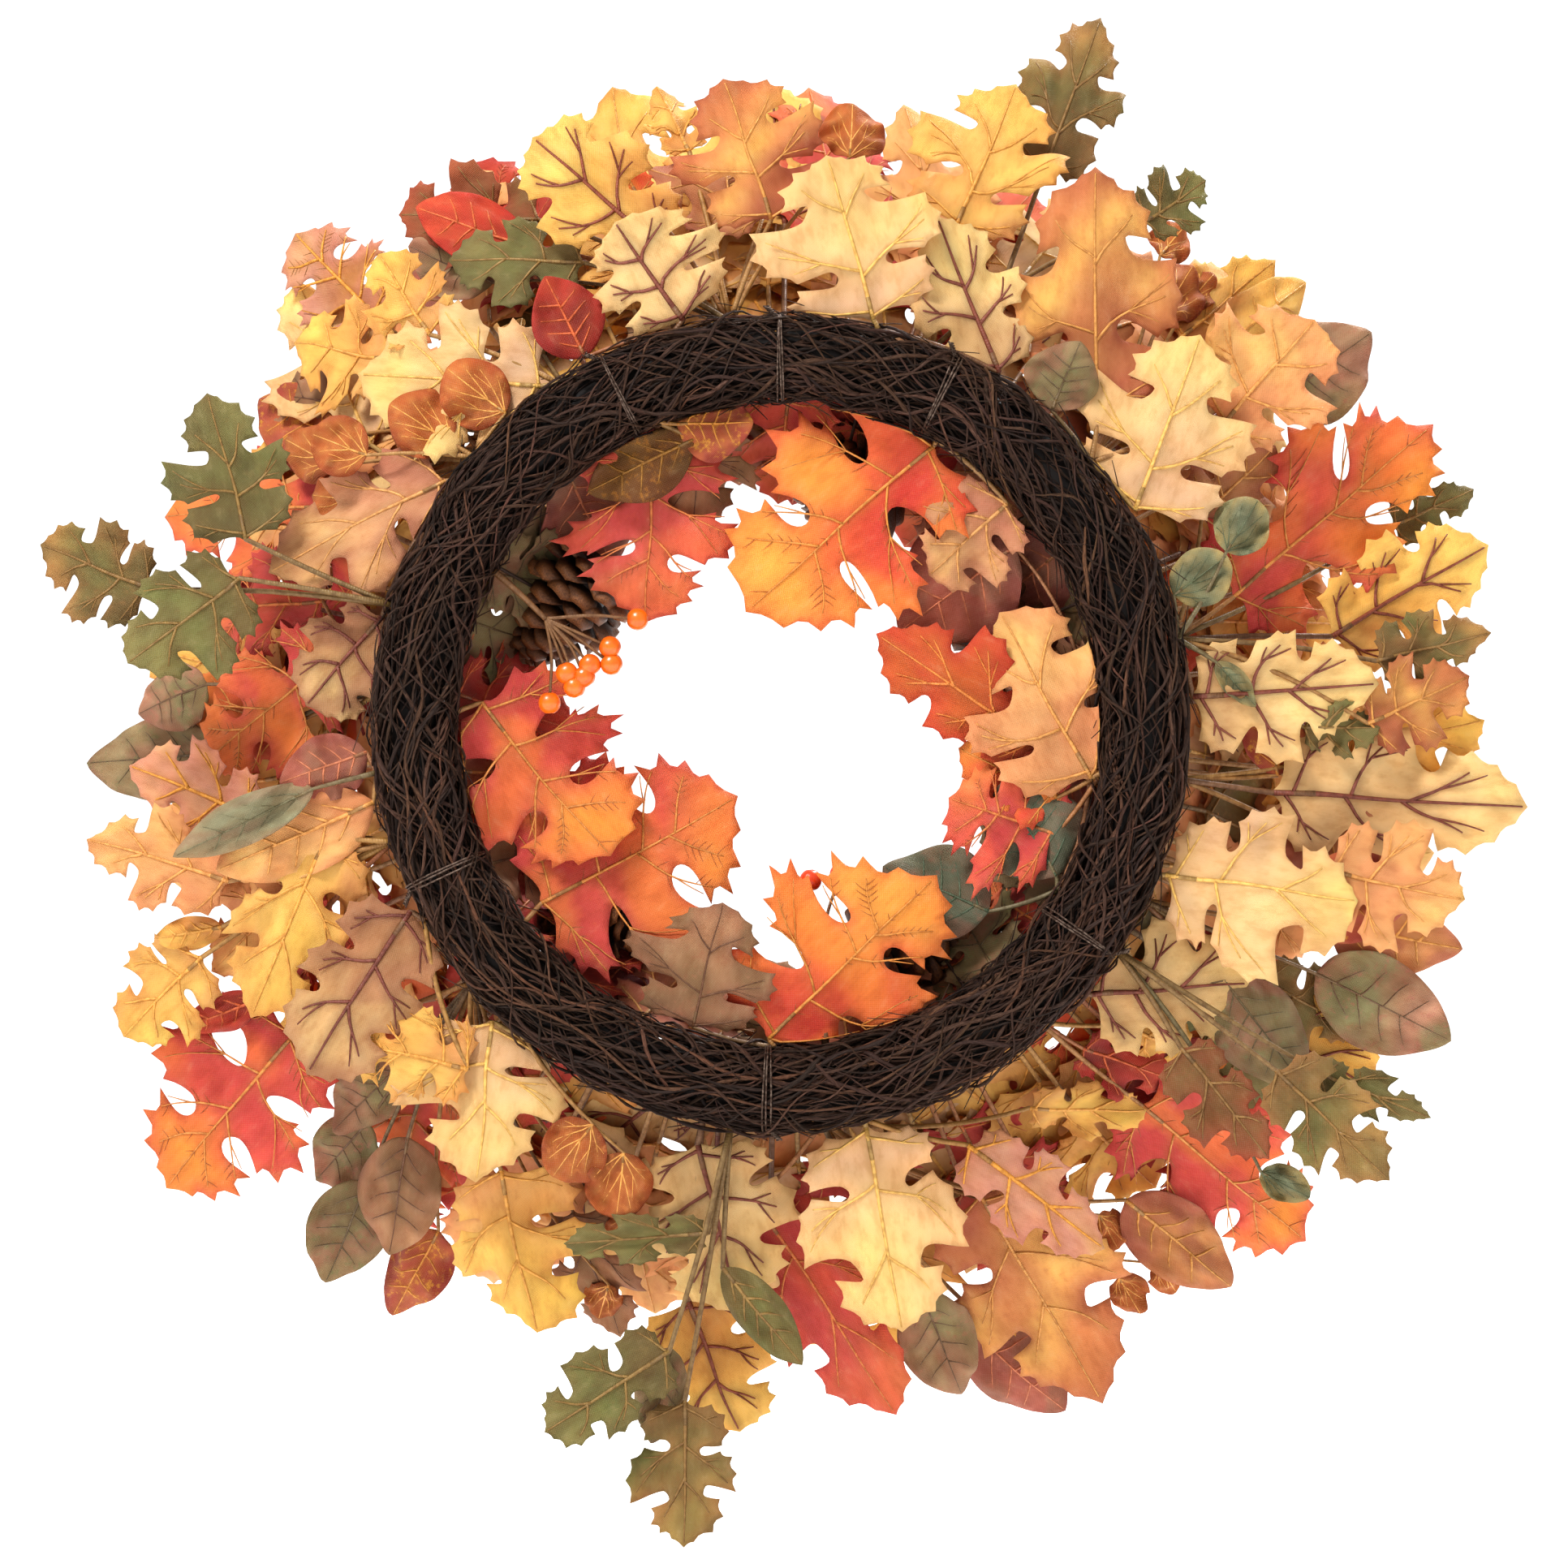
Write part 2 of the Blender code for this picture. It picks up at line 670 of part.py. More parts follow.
def berry_pick(name, design, stack, collection, swings=False):
    """Berries on a forked twig, which is laid just clear of the leaves already there."""
    colour, root_angle, fork, berries = design
    room = BERRY_RADIUS + (SWING_GAP if swings else LAYER_GAP)
    root_place = ((RING_RADIUS - ROOT_REACH) / MM, root_angle)
    cells = berry_cells(stack, root_place, fork, swings)
    for berry in berries:
        cells.update(berry_cells(stack, fork, berry, swings))
    own_tilt = 0.0
    for key, reach in cells.items():
        if key in stack.filled:
            own_tilt = max(own_tilt, stack.filled[key] + room / reach)
    for key, reach in cells.items():
        stack.filled[key] = max(stack.filled.get(key, -9), own_tilt + room / reach)

    def spot(place):
        radius, angle = place
        reach = (RING_RADIUS - radius * MM) / math.cos(own_tilt)
        return ring_point(angle, reach, math.pi - own_tilt)

    root = ring_point(root_angle, ROOT_REACH, math.pi - own_tilt)
    pieces = [tube([root, spot(fork)], TWIG_RADIUS * 1.6)]
    for place in berries:
        pieces.append(tube([spot(fork), spot(place)], TWIG_RADIUS, 0))
        pieces.append(ball(spot(place), BERRY_RADIUS))
    material = make_material(name, colour, roughness=0.3)
    fused(name, pieces, material, collection, pivot=root if swings else None)
    report(name, [math.pi - own_tilt], root)


def pinecone(name, middle, turn, stack, collection):
    """A turned stack of scales, tucked behind the inner leaves and wired to the ring."""
    reach, angle = middle[0] * MM, middle[1]
    own_tilt = math.radians(38)
    body = max(CONE_RADIUS, CONE_LENGTH / 2)
    for _ in range(8):
        needed = own_tilt
        for (cell_angle, cell_reach), filled in stack.filled.items():
            over = unwrapped((cell_angle + 0.5) * CELL_ANGLE, angle) - angle
            out = (cell_reach + 0.5) * CELL_REACH
            local_radius = RING_RADIUS - out * math.cos(own_tilt)
            apart = math.hypot(math.radians(over) * local_radius, out - reach)
            if apart < body + 3 * MM:
                half = math.sqrt(max(body**2 - apart**2, (3 * MM) ** 2))
                needed = max(needed, filled + (half + LAYER_GAP) / max(out, ROOT_REACH))
        if needed <= own_tilt + 1e-9:
            break
        own_tilt = needed
    tilt = math.pi - own_tilt
    centre = ring_point(angle, reach, tilt)
    direction = outward(angle) * math.cos(tilt) + Vector((0, -1, 0)) * math.sin(tilt)
    axis = Matrix.Rotation(math.radians(turn), 3, direction) @ along(angle)
    stem = tube([ring_point(angle, 18.2 * MM, tilt), centre], 1.6 * MM)
    fused(name, [cone_solid(centre, axis), stem], make_material(name, CONE_BROWN), collection)
    report(name, [tilt], centre)


def cone_solid(centre, axis):
    """Scales as a zigzag profile, turned with a Screw round the cone's own axis."""
    mesh = bpy.data.meshes.new("profile")
    work = bmesh.new()
    points = [(0.0, CONE_LENGTH / 2)]
    for row in range(CONE_SCALE_ROWS):
        share = (row + 0.7) / CONE_SCALE_ROWS
        swell = math.sin(math.pi * min(1, share**0.75)) ** 0.5
        height = CONE_LENGTH * (0.5 - share)
        points.append((CONE_RADIUS * max(0.42, swell), height + CONE_LENGTH * 0.05))
        if row + 1 < CONE_SCALE_ROWS:
            points.append((CONE_RADIUS * max(0.42, swell) * 0.72, height - CONE_LENGTH * 0.03))
    points.append((0.0, -CONE_LENGTH / 2))
    verts = [work.verts.new((across, 0, height)) for across, height in points]
    for start, end in zip(verts, verts[1:]):
        work.edges.new((start, end))
    work.to_mesh(mesh)
    work.free()
    turned = mesh_object("cone", mesh)
    screw = turned.modifiers.new("turned", "SCREW")
    screw.steps = 8
    screw.render_steps = 8
    screw.use_merge_vertices = True
    screw.merge_threshold = 0.00001
    turned.rotation_mode = "QUATERNION"
    turned.rotation_quaternion = axis.to_track_quat("Z", "Y")
    turned.location = centre
    bpy.context.view_layer.update()
    return settled(turned, "cone")


def wire_hoop(collection):
    bpy.ops.mesh.primitive_torus_add(
        major_radius=RING_RADIUS, minor_radius=HOOP_WIRE_RADIUS,
        major_segments=RING_SEGMENTS, minor_segments=5, location=RING_CENTRE,
        rotation=(math.pi / 2, 0, 0))
    bpy.context.view_layer.update()
    mesh = evaluated_mesh(bpy.context.active_object)
    bpy.data.objects.remove(bpy.context.active_object, do_unlink=True)
    material = make_material("wire_hoop", WIRE, roughness=0.45, metallic=0.9)
    named("wire_hoop", mesh, material, collection, smooth=True)


def twig_bundle(number, collection):
    """One of the twisted bundles round the hoop, with the flats where the ring lies against the door."""
    curve = bpy.data.curves.new("bundle", "CURVE")
    curve.dimensions = "3D"
    curve.bevel_depth = BUNDLE_RADIUS
    curve.bevel_resolution = 2
    curve.twist_mode = "Z_UP"
    spline = curve.splines.new("POLY")
    spline.points.add(RING_SEGMENTS - 1)
    spline.use_cyclic_u = True
    for index, knot in enumerate(spline.points):
        angle = 360 * index / RING_SEGMENTS
        tilt = math.radians(angle * BUNDLE_TURNS + 360 * number / BUNDLE_COUNT)
        knot.co = (*ring_point(angle, BUNDLE_OFFSET, tilt), 1)
    strand = settled(mesh_object("bundle", curve), "bundle")
    work = bmesh.new()
    work.from_mesh(strand.data)
    cut = bmesh.ops.bisect_plane(
        work, geom=work.verts[:] + work.edges[:] + work.faces[:], dist=0.000001,
        plane_co=(0, BACK_FLAT, 0), plane_no=(0, 1, 0), clear_outer=True)
    rim = [item for item in cut["geom_cut"] if isinstance(item, bmesh.types.BMEdge)]
    bmesh.ops.holes_fill(work, edges=rim, sides=0)
    bmesh.ops.recalc_face_normals(work, faces=work.faces)
    mesh = bpy.data.meshes.new("bundle")
    work.to_mesh(mesh)
    work.free()
    bpy.data.objects.remove(strand, do_unlink=True)
    name = f"twig_bundle_{number + 1}"
    named(name, mesh, make_material(name, TWIG, roughness=0.85), collection, smooth=True)


def binding_tie(number, angle, collection):
    """Several turns of binding wire as one band, flat at the back where it touches the door."""
    work = bmesh.new()
    bmesh.ops.create_cone(work, cap_ends=False, segments=TIE_SIDES, radius1=TIE_RADIUS,
                          radius2=TIE_RADIUS, depth=TIE_WIDTH)
    half_side = math.pi / TIE_SIDES
    bmesh.ops.rotate(work, verts=work.verts, matrix=Matrix.Rotation(half_side, 3, "Z"))
    for vert in work.verts:
        vert.co.y = min(vert.co.y, TIE_BACK)
    mesh = bpy.data.meshes.new("tie")
    work.to_mesh(mesh)
    work.free()
    band = mesh_object("tie", mesh)
    side, back, run = outward(angle), Vector((0, 1, 0)), along(angle)
    place = Matrix((side, back, side.cross(back))).transposed().to_4x4()
    place.translation = RING_CENTRE + outward(angle) * RING_RADIUS
    band.matrix_world = place
    thicken = band.modifiers.new("thickness", "SOLIDIFY")
    thicken.thickness = TIE_THICKNESS
    thicken.offset = 1
    thicken.use_even_offset = True
    bpy.context.view_layer.update()
    mesh = evaluated_mesh(band)
    bpy.data.objects.remove(band, do_unlink=True)
    name = f"binding_wire_{number + 1}"
    named(name, mesh, make_material(name, WIRE, roughness=0.5, metallic=0.8), collection)


def report(name, tilts, pivot):
    place = "" if pivot is None else " pivot " + ", ".join(f"{value:.5f}" for value in pivot)
    print(name, "tilts", ", ".join(f"{math.degrees(tilt):.1f}" for tilt in tilts) + place)


def build():
    clear_scene()
    wreath = new_collection("harvest_door_wreath")
    wire_hoop(wreath)
    for number in range(BUNDLE_COUNT):
        twig_bundle(number, wreath)
    for number, angle in enumerate(TIE_ANGLES):
        binding_tie(number, angle, wreath)
    outer_picks(wreath)
    inner_picks(wreath)


build()
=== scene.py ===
"""Looks of the harvest door wreath: twig ring, cloth leaves, berries and pinecones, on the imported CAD."""

import json
import math

import bpy
import numpy as np
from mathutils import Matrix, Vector
from mathutils.geometry import delaunay_2d_cdt

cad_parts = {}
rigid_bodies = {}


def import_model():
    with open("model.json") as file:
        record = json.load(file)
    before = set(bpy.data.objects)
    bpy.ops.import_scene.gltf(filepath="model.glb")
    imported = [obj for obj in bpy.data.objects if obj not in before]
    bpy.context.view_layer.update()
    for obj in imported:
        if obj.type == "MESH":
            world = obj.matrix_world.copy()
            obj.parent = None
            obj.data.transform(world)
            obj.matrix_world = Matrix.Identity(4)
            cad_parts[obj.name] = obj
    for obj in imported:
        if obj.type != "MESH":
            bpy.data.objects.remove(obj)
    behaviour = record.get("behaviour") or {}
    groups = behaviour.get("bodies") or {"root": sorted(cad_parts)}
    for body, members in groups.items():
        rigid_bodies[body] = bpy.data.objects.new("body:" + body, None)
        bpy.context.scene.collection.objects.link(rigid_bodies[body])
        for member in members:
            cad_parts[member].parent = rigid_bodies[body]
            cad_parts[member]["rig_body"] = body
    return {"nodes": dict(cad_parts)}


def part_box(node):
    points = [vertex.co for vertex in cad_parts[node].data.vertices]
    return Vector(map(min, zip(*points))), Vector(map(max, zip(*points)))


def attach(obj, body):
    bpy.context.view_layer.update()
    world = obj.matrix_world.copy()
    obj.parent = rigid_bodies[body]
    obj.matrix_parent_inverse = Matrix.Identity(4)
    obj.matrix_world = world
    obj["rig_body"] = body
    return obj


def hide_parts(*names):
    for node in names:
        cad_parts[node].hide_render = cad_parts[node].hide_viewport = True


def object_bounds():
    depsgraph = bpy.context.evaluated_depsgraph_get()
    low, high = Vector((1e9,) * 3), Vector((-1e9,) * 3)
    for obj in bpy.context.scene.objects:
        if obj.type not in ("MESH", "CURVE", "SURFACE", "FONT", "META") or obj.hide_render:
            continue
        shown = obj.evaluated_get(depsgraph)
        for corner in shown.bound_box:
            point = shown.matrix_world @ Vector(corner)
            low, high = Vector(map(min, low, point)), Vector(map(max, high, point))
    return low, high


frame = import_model()
cad_low, cad_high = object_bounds()
nodes = frame["nodes"]
MM = 0.001

# The ring, as the CAD has it
hoop_low, hoop_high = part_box("wire_hoop")
HOOP_WIRE = (hoop_high.y - hoop_low.y) / 2
CENTRE = np.array((hoop_low + hoop_high) / 2)
RING = (hoop_high.x - hoop_low.x) / 2 - HOOP_WIRE
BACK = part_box("binding_wire_2")[1].y
TUBE = 16.6 * MM

# Reaches, which are distances from the circle in the middle of the ring's tube
LEAF_START = 25.5 * MM
STEM_START = 16.3 * MM
LEAST_REACH = 18.4 * MM
NEAREST_BASE = 19.5 * MM

SHEET = 0.5 * MM
SHEET_RIM = 0.22 * MM
TWIG_COUNT = 1700
STRAY_COUNT = 720
TWIG_BROWN = (76, 52, 38)
STRAY_BROWN = (78, 54, 40)
# Near-black painted shade for the packed core deep in the ring
CORE_SHADE_BROWN = (22, 12, 8)
WIRE_COUNT = 6
WIRE_BROWN = (64, 46, 36)
# Degrees round the ring, so that the bending stem beside this wire clears its turns
WIRE_NUDGE = {"binding_wire_1": 0.9}
BERRY_STEM = (120, 84, 50)
BERRY_RADIUS = 4.45 * MM
CONE_LENGTH = 50 * MM
CONE_RADIUS = 27 * MM
SCALES_PER_CONE = 78
SCALE_TURN = 2.39996
SCALE_DARK = (82, 50, 31)
SCALE_TAN = (158, 106, 66)
CONE_CORE = (52, 30, 18)
CONE_WIRE = (60, 44, 34)
DISPLAY_SIDE = np.array([0.0, -1.0, 0.0])


def srgb(red, green, blue):
    """Linear colour of a display colour given as 0 to 255."""
    share = np.array([red, green, blue]) / 255
    return np.where(share <= 0.04045, share / 12.92, ((share + 0.055) / 1.055) ** 2.4)


# ---------------------------------------------------------------- leaf designs

# Half outlines: (place along the leaf, share of the width, 1 for a sharp tooth)
OAK_EDGE = (
    (0, 0.018, 1), (0.03, 0.05, 0), (0.04, 0.14, 0), (0.02, 0.25, 1), (0.061, 0.282, 0), (0.075, 0.375, 1),
    (0.133, 0.353, 0), (0.185, 0.42, 1), (0.221, 0.36, 0), (0.275, 0.37, 1), (0.268, 0.28, 0),
    (0.265, 0.2, 0), (0.275, 0.17, 0), (0.3, 0.145, 0), (0.33, 0.16, 0), (0.342, 0.19, 0), (0.335, 0.27, 0),
    (0.315, 0.36, 1), (0.362, 0.389, 0), (0.385, 0.47, 1), (0.445, 0.447, 0), (0.505, 0.51, 1),
    (0.554, 0.452, 0), (0.63, 0.48, 1), (0.61, 0.38, 0), (0.592, 0.29, 0), (0.59, 0.21, 0), (0.61, 0.185, 0),
    (0.64, 0.165, 0), (0.672, 0.16, 0), (0.68, 0.22, 0), (0.68, 0.31, 1), (0.736, 0.277, 0), (0.79, 0.32, 1),
    (0.826, 0.238, 0), (0.89, 0.235, 1), (0.904, 0.14, 0), (0.955, 0.1, 1), (0.967, 0.05, 0), (1, 0, 1))
MAPLE_EDGE = (
    (0, 0.018, 1), (0.02, 0.05, 0), (0.01, 0.13, 0), (-0.04, 0.23, 1), (0.025, 0.245, 0), (0.02, 0.36, 1),
    (0.08, 0.335, 0), (0.12, 0.45, 1), (0.155, 0.36, 0), (0.215, 0.375, 1), (0.205, 0.28, 0),
    (0.222, 0.205, 0), (0.245, 0.16, 0), (0.272, 0.128, 0), (0.303, 0.13, 0), (0.328, 0.16, 0),
    (0.345, 0.21, 0), (0.347, 0.28, 0), (0.32, 0.36, 1), (0.38, 0.35, 0), (0.38, 0.465, 1), (0.44, 0.42, 0),
    (0.505, 0.53, 1), (0.528, 0.428, 0), (0.605, 0.455, 1), (0.588, 0.35, 0), (0.64, 0.34, 1),
    (0.6, 0.262, 0), (0.577, 0.195, 0), (0.575, 0.148, 0), (0.598, 0.112, 0), (0.633, 0.105, 0),
    (0.665, 0.13, 0), (0.68, 0.178, 0), (0.677, 0.245, 0), (0.672, 0.33, 1), (0.732, 0.268, 0),
    (0.785, 0.355, 1), (0.812, 0.25, 0), (0.882, 0.28, 1), (0.888, 0.172, 0), (0.952, 0.16, 1),
    (0.955, 0.068, 0), (1, 0, 1))
BLUNT_EDGE = (
    (0, 0.018, 1), (0.03, 0.07, 0), (0.04, 0.18, 0), (0.03, 0.3, 1), (0.083, 0.315, 0), (0.115, 0.4, 1),
    (0.177, 0.369, 0), (0.235, 0.42, 1), (0.255, 0.33, 0), (0.275, 0.25, 0), (0.305, 0.205, 0),
    (0.337, 0.235, 0), (0.345, 0.31, 0), (0.34, 0.41, 1), (0.394, 0.417, 0), (0.44, 0.5, 1),
    (0.498, 0.452, 0), (0.565, 0.49, 1), (0.577, 0.385, 0), (0.59, 0.29, 0), (0.62, 0.22, 0),
    (0.657, 0.23, 0), (0.672, 0.29, 0), (0.69, 0.36, 1), (0.738, 0.311, 0), (0.79, 0.35, 1), (0.83, 0.266, 0),
    (0.885, 0.255, 1), (0.905, 0.162, 0), (0.955, 0.13, 1), (0.967, 0.062, 0), (1, 0, 1))


def smooth_edge(places, skew, fullness, stem):
    """Half outline of a leaf without lobes, widest a little before its middle."""
    return tuple((x, 0.5 * math.sin(math.pi * x**skew) ** fullness if 0 < x < 1 else stem * (x == 0), 0)
                 for x in places)


OVAL_EDGE = smooth_edge((0, 0.04, 0.1, 0.18, 0.28, 0.38, 0.48, 0.58, 0.68, 0.78, 0.86, 0.92, 0.97, 1.0),
                        0.86, 0.72, 0.018)
DISC_EDGE = smooth_edge((0, 0.03, 0.08, 0.16, 0.26, 0.38, 0.5, 0.62, 0.74, 0.84, 0.92, 0.97, 1.0),
                        0.95, 0.5, 0.03)

# Side veins, by the place where they leave the midrib and their end, then forks, by the side vein, the
# place along it and the fork's end
OAK_VEINS = (((0.03, (0.15, 0.36)), (0.28, (0.50, 0.42)), (0.56, (0.80, 0.22))),
             ((0, 0.55, (0.07, 0.30)), (1, 0.5, (0.37, 0.37)), (1, 0.62, (0.58, 0.43))))
MAPLE_VEINS = (((0.02, (0.15, 0.42)), (0.24, (0.46, 0.45)), (0.50, (0.74, 0.30)), (0.66, (0.85, 0.22))),
               ((0, 0.45, (0.05, 0.33)), (0, 0.55, (0.25, 0.39)), (1, 0.5, (0.34, 0.41)),
                (1, 0.62, (0.58, 0.40)), (2, 0.5, (0.67, 0.28))))
BLUNT_VEINS = (((0.05, (0.17, 0.33)), (0.30, (0.50, 0.40)), (0.55, (0.78, 0.24))),
               ((0, 0.6, (0.10, 0.27)), (0, 0.7, (0.23, 0.30)), (1, 0.6, (0.41, 0.36)),
                (1, 0.7, (0.56, 0.34)), (2, 0.6, (0.84, 0.2))))
OVAL_VEINS = (tuple((0.12 + 0.17 * i, (0.30 + 0.15 * i, 0.36 * math.sin(math.pi * (0.26 + 0.15 * i))))
                    for i in range(4)), ())
DISC_VEINS = (((0.02, (0.42, 0.40)), (0.03, (0.68, 0.34)), (0.3, (0.86, 0.22))),
              ((0, 0.5, (0.25, 0.38)), (1, 0.6, (0.66, 0.2))))
KINDS = {"oak": (OAK_EDGE, OAK_VEINS), "maple": (MAPLE_EDGE, MAPLE_VEINS), "blunt": (BLUNT_EDGE, BLUNT_VEINS),
         "oval": (OVAL_EDGE, OVAL_VEINS), "disc": (DISC_EDGE, DISC_VEINS)}

STALK_COLOUR = srgb(116, 92, 58)

# Colours at the base, middle, tip and rim, then the vein colour and its radius in mm, the blotch colour and
# its share, and the fleck colour and its share
FINISHES = {
    "cream": ((224, 184, 146), (242, 208, 148), (248, 218, 134), (238, 190, 132),
        (226, 180, 98), 0.95, (236, 188, 130), 0.4, (214, 170, 110), 0.15),
    "peach": ((220, 156, 104), (240, 184, 118), (247, 208, 126), (232, 160, 106),
        (216, 154, 84), 0.95, (226, 148, 100), 0.5, (214, 150, 100), 0.15),
    "pink": ((196, 132, 102), (218, 166, 118), (236, 198, 126), (200, 130, 100),
        (206, 150, 88), 0.9, (180, 116, 88), 0.6, (190, 130, 90), 0.2),
    "gold": ((222, 164, 104), (240, 194, 104), (248, 208, 102), (232, 164, 88),
        (220, 160, 76), 0.95, (246, 206, 110), 0.5, (226, 160, 80), 0.15),
    "cream_plum": ((212, 170, 120), (240, 206, 146), (248, 220, 146), (240, 200, 134),
        (128, 68, 50), 1.2, (226, 182, 122), 0.4, (206, 160, 104), 0.15),
    "tan_plum": ((170, 120, 80), (204, 158, 106), (226, 188, 130), (190, 134, 96),
        (122, 64, 48), 1.15, (176, 122, 88), 0.6, (180, 130, 90), 0.2),
    "gold_plum": ((212, 150, 82), (244, 196, 100), (250, 216, 118), (240, 182, 92),
        (134, 68, 44), 1.15, (248, 210, 120), 0.4, (226, 160, 80), 0.15),
    "blush": ((196, 130, 70), (214, 158, 130), (226, 178, 120), (222, 150, 128),
        (214, 148, 56), 1.1, (210, 140, 120), 0.5, (220, 160, 110), 0.2),
    "rust_rim": ((176, 98, 66), (240, 190, 102), (218, 142, 84), (170, 88, 60),
        (206, 146, 76), 0.85, (204, 126, 80), 0.5, (190, 110, 70), 0.2),
    "tan": ((176, 108, 80), (216, 166, 110), (196, 128, 90), (168, 92, 74),
        (204, 150, 86), 0.85, (176, 106, 80), 0.6, (190, 120, 86), 0.2),
    "russet": ((176, 100, 66), (196, 132, 78), (214, 152, 92), (176, 98, 72),
        (200, 140, 66), 0.9, (170, 94, 70), 0.6, (180, 110, 70), 0.2),
    "green": ((108, 88, 46), (120, 122, 66), (144, 136, 80), (130, 114, 68),
        (142, 112, 60), 0.9, (106, 98, 54), 0.5, (152, 128, 78), 0.25),
    "green_amber": ((114, 92, 48), (124, 122, 66), (188, 146, 82), (170, 122, 72),
        (142, 108, 58), 0.9, (112, 100, 56), 0.5, (170, 120, 70), 0.25),
    "green_red": ((132, 96, 50), (130, 104, 58), (178, 92, 56), (168, 78, 50),
        (140, 104, 56), 0.9, (150, 84, 50), 0.6, (170, 90, 60), 0.25),
    "flame": ((196, 64, 62), (222, 92, 74), (246, 162, 62), (212, 80, 72),
        (204, 134, 66), 0.8, (240, 136, 64), 0.6, (232, 120, 60), 0.15),
    "coral": ((190, 64, 62), (216, 90, 82), (238, 140, 76), (208, 78, 74),
        (206, 122, 64), 0.8, (230, 104, 70), 0.5, (232, 110, 60), 0.15),
    "orange": ((210, 66, 50), (234, 112, 60), (248, 176, 74), (230, 104, 62),
        (204, 134, 60), 0.8, (246, 158, 62), 0.5, (240, 140, 60), 0.15),
    "crimson": ((130, 34, 26), (170, 52, 38), (206, 76, 46), (176, 46, 40),
        (196, 96, 50), 0.8, (196, 60, 44), 0.5, (150, 40, 30), 0.2),
    "scarlet": ((176, 50, 34), (208, 66, 46), (216, 84, 54), (200, 60, 44),
        (214, 110, 60), 0.8, (222, 96, 56), 0.5, (180, 50, 36), 0.2),
    "brick": ((168, 74, 52), (182, 82, 60), (188, 92, 68), (160, 66, 54),
        (208, 140, 58), 0.7, (196, 110, 60), 0.6, (226, 168, 62), 0.8),
    "olive_gold": ((112, 66, 22), (118, 74, 26), (128, 82, 30), (106, 58, 26),
        (150, 104, 36), 0.8, (96, 70, 26), 0.5, (176, 116, 36), 0.7),
    "magnolia": ((138, 128, 82), (168, 156, 108), (188, 150, 114), (160, 112, 88),
        (112, 84, 56), 0.55, (180, 122, 98), 0.6, (186, 126, 100), 0.5),
    "magnolia_pink": ((150, 130, 88), (184, 154, 114), (198, 148, 118), (164, 110, 88),
        (118, 88, 60), 0.55, (146, 150, 102), 0.6, (196, 128, 108), 0.6),
    "magnolia_pale": ((130, 112, 70), (162, 146, 104), (186, 168, 120), (160, 120, 92),
        (112, 98, 66), 0.55, (186, 132, 108), 0.7, (150, 160, 112), 0.5),
    "umber": ((132, 112, 72), (154, 142, 96), (176, 150, 108), (152, 118, 86),
        (104, 84, 54), 0.6, (164, 112, 86), 0.7, (128, 132, 84), 0.6),
    "sepia": ((140, 104, 68), (172, 130, 92), (192, 144, 104), (158, 106, 80),
        (112, 74, 48), 0.6, (128, 98, 60), 0.6, (170, 110, 80), 0.4),
    "sage": ((140, 128, 96), (150, 148, 116), (170, 150, 112), (176, 146, 110),
        (122, 116, 84), 0.6, (160, 126, 100), 0.5, (166, 166, 132), 0.4),
    "teal": ((108, 108, 78), (116, 120, 94), (138, 134, 98), (196, 168, 104),
        (96, 102, 72), 0.55, (130, 140, 110), 0.5, (150, 150, 116), 0.4),
    "slate": ((112, 104, 82), (128, 122, 98), (134, 116, 92), (144, 100, 82),
        (84, 98, 74), 0.7, (96, 104, 82), 0.8, (150, 110, 90), 0.5),
    "mauve": ((150, 92, 76), (174, 98, 82), (190, 112, 90), (160, 84, 72),
        (196, 120, 84), 0.7, (150, 110, 84), 0.6, (196, 120, 96), 0.4),
    "rust": ((152, 70, 28), (192, 98, 42), (208, 120, 58), (164, 78, 36),
        (226, 164, 86), 0.55, (176, 92, 40), 0.5, (206, 130, 66), 0.7),
    "ember": ((150, 66, 24), (196, 96, 36), (210, 112, 48), (206, 66, 44),
        (214, 130, 60), 0.9, (206, 70, 44), 0.6, (200, 100, 40), 0.2),
}

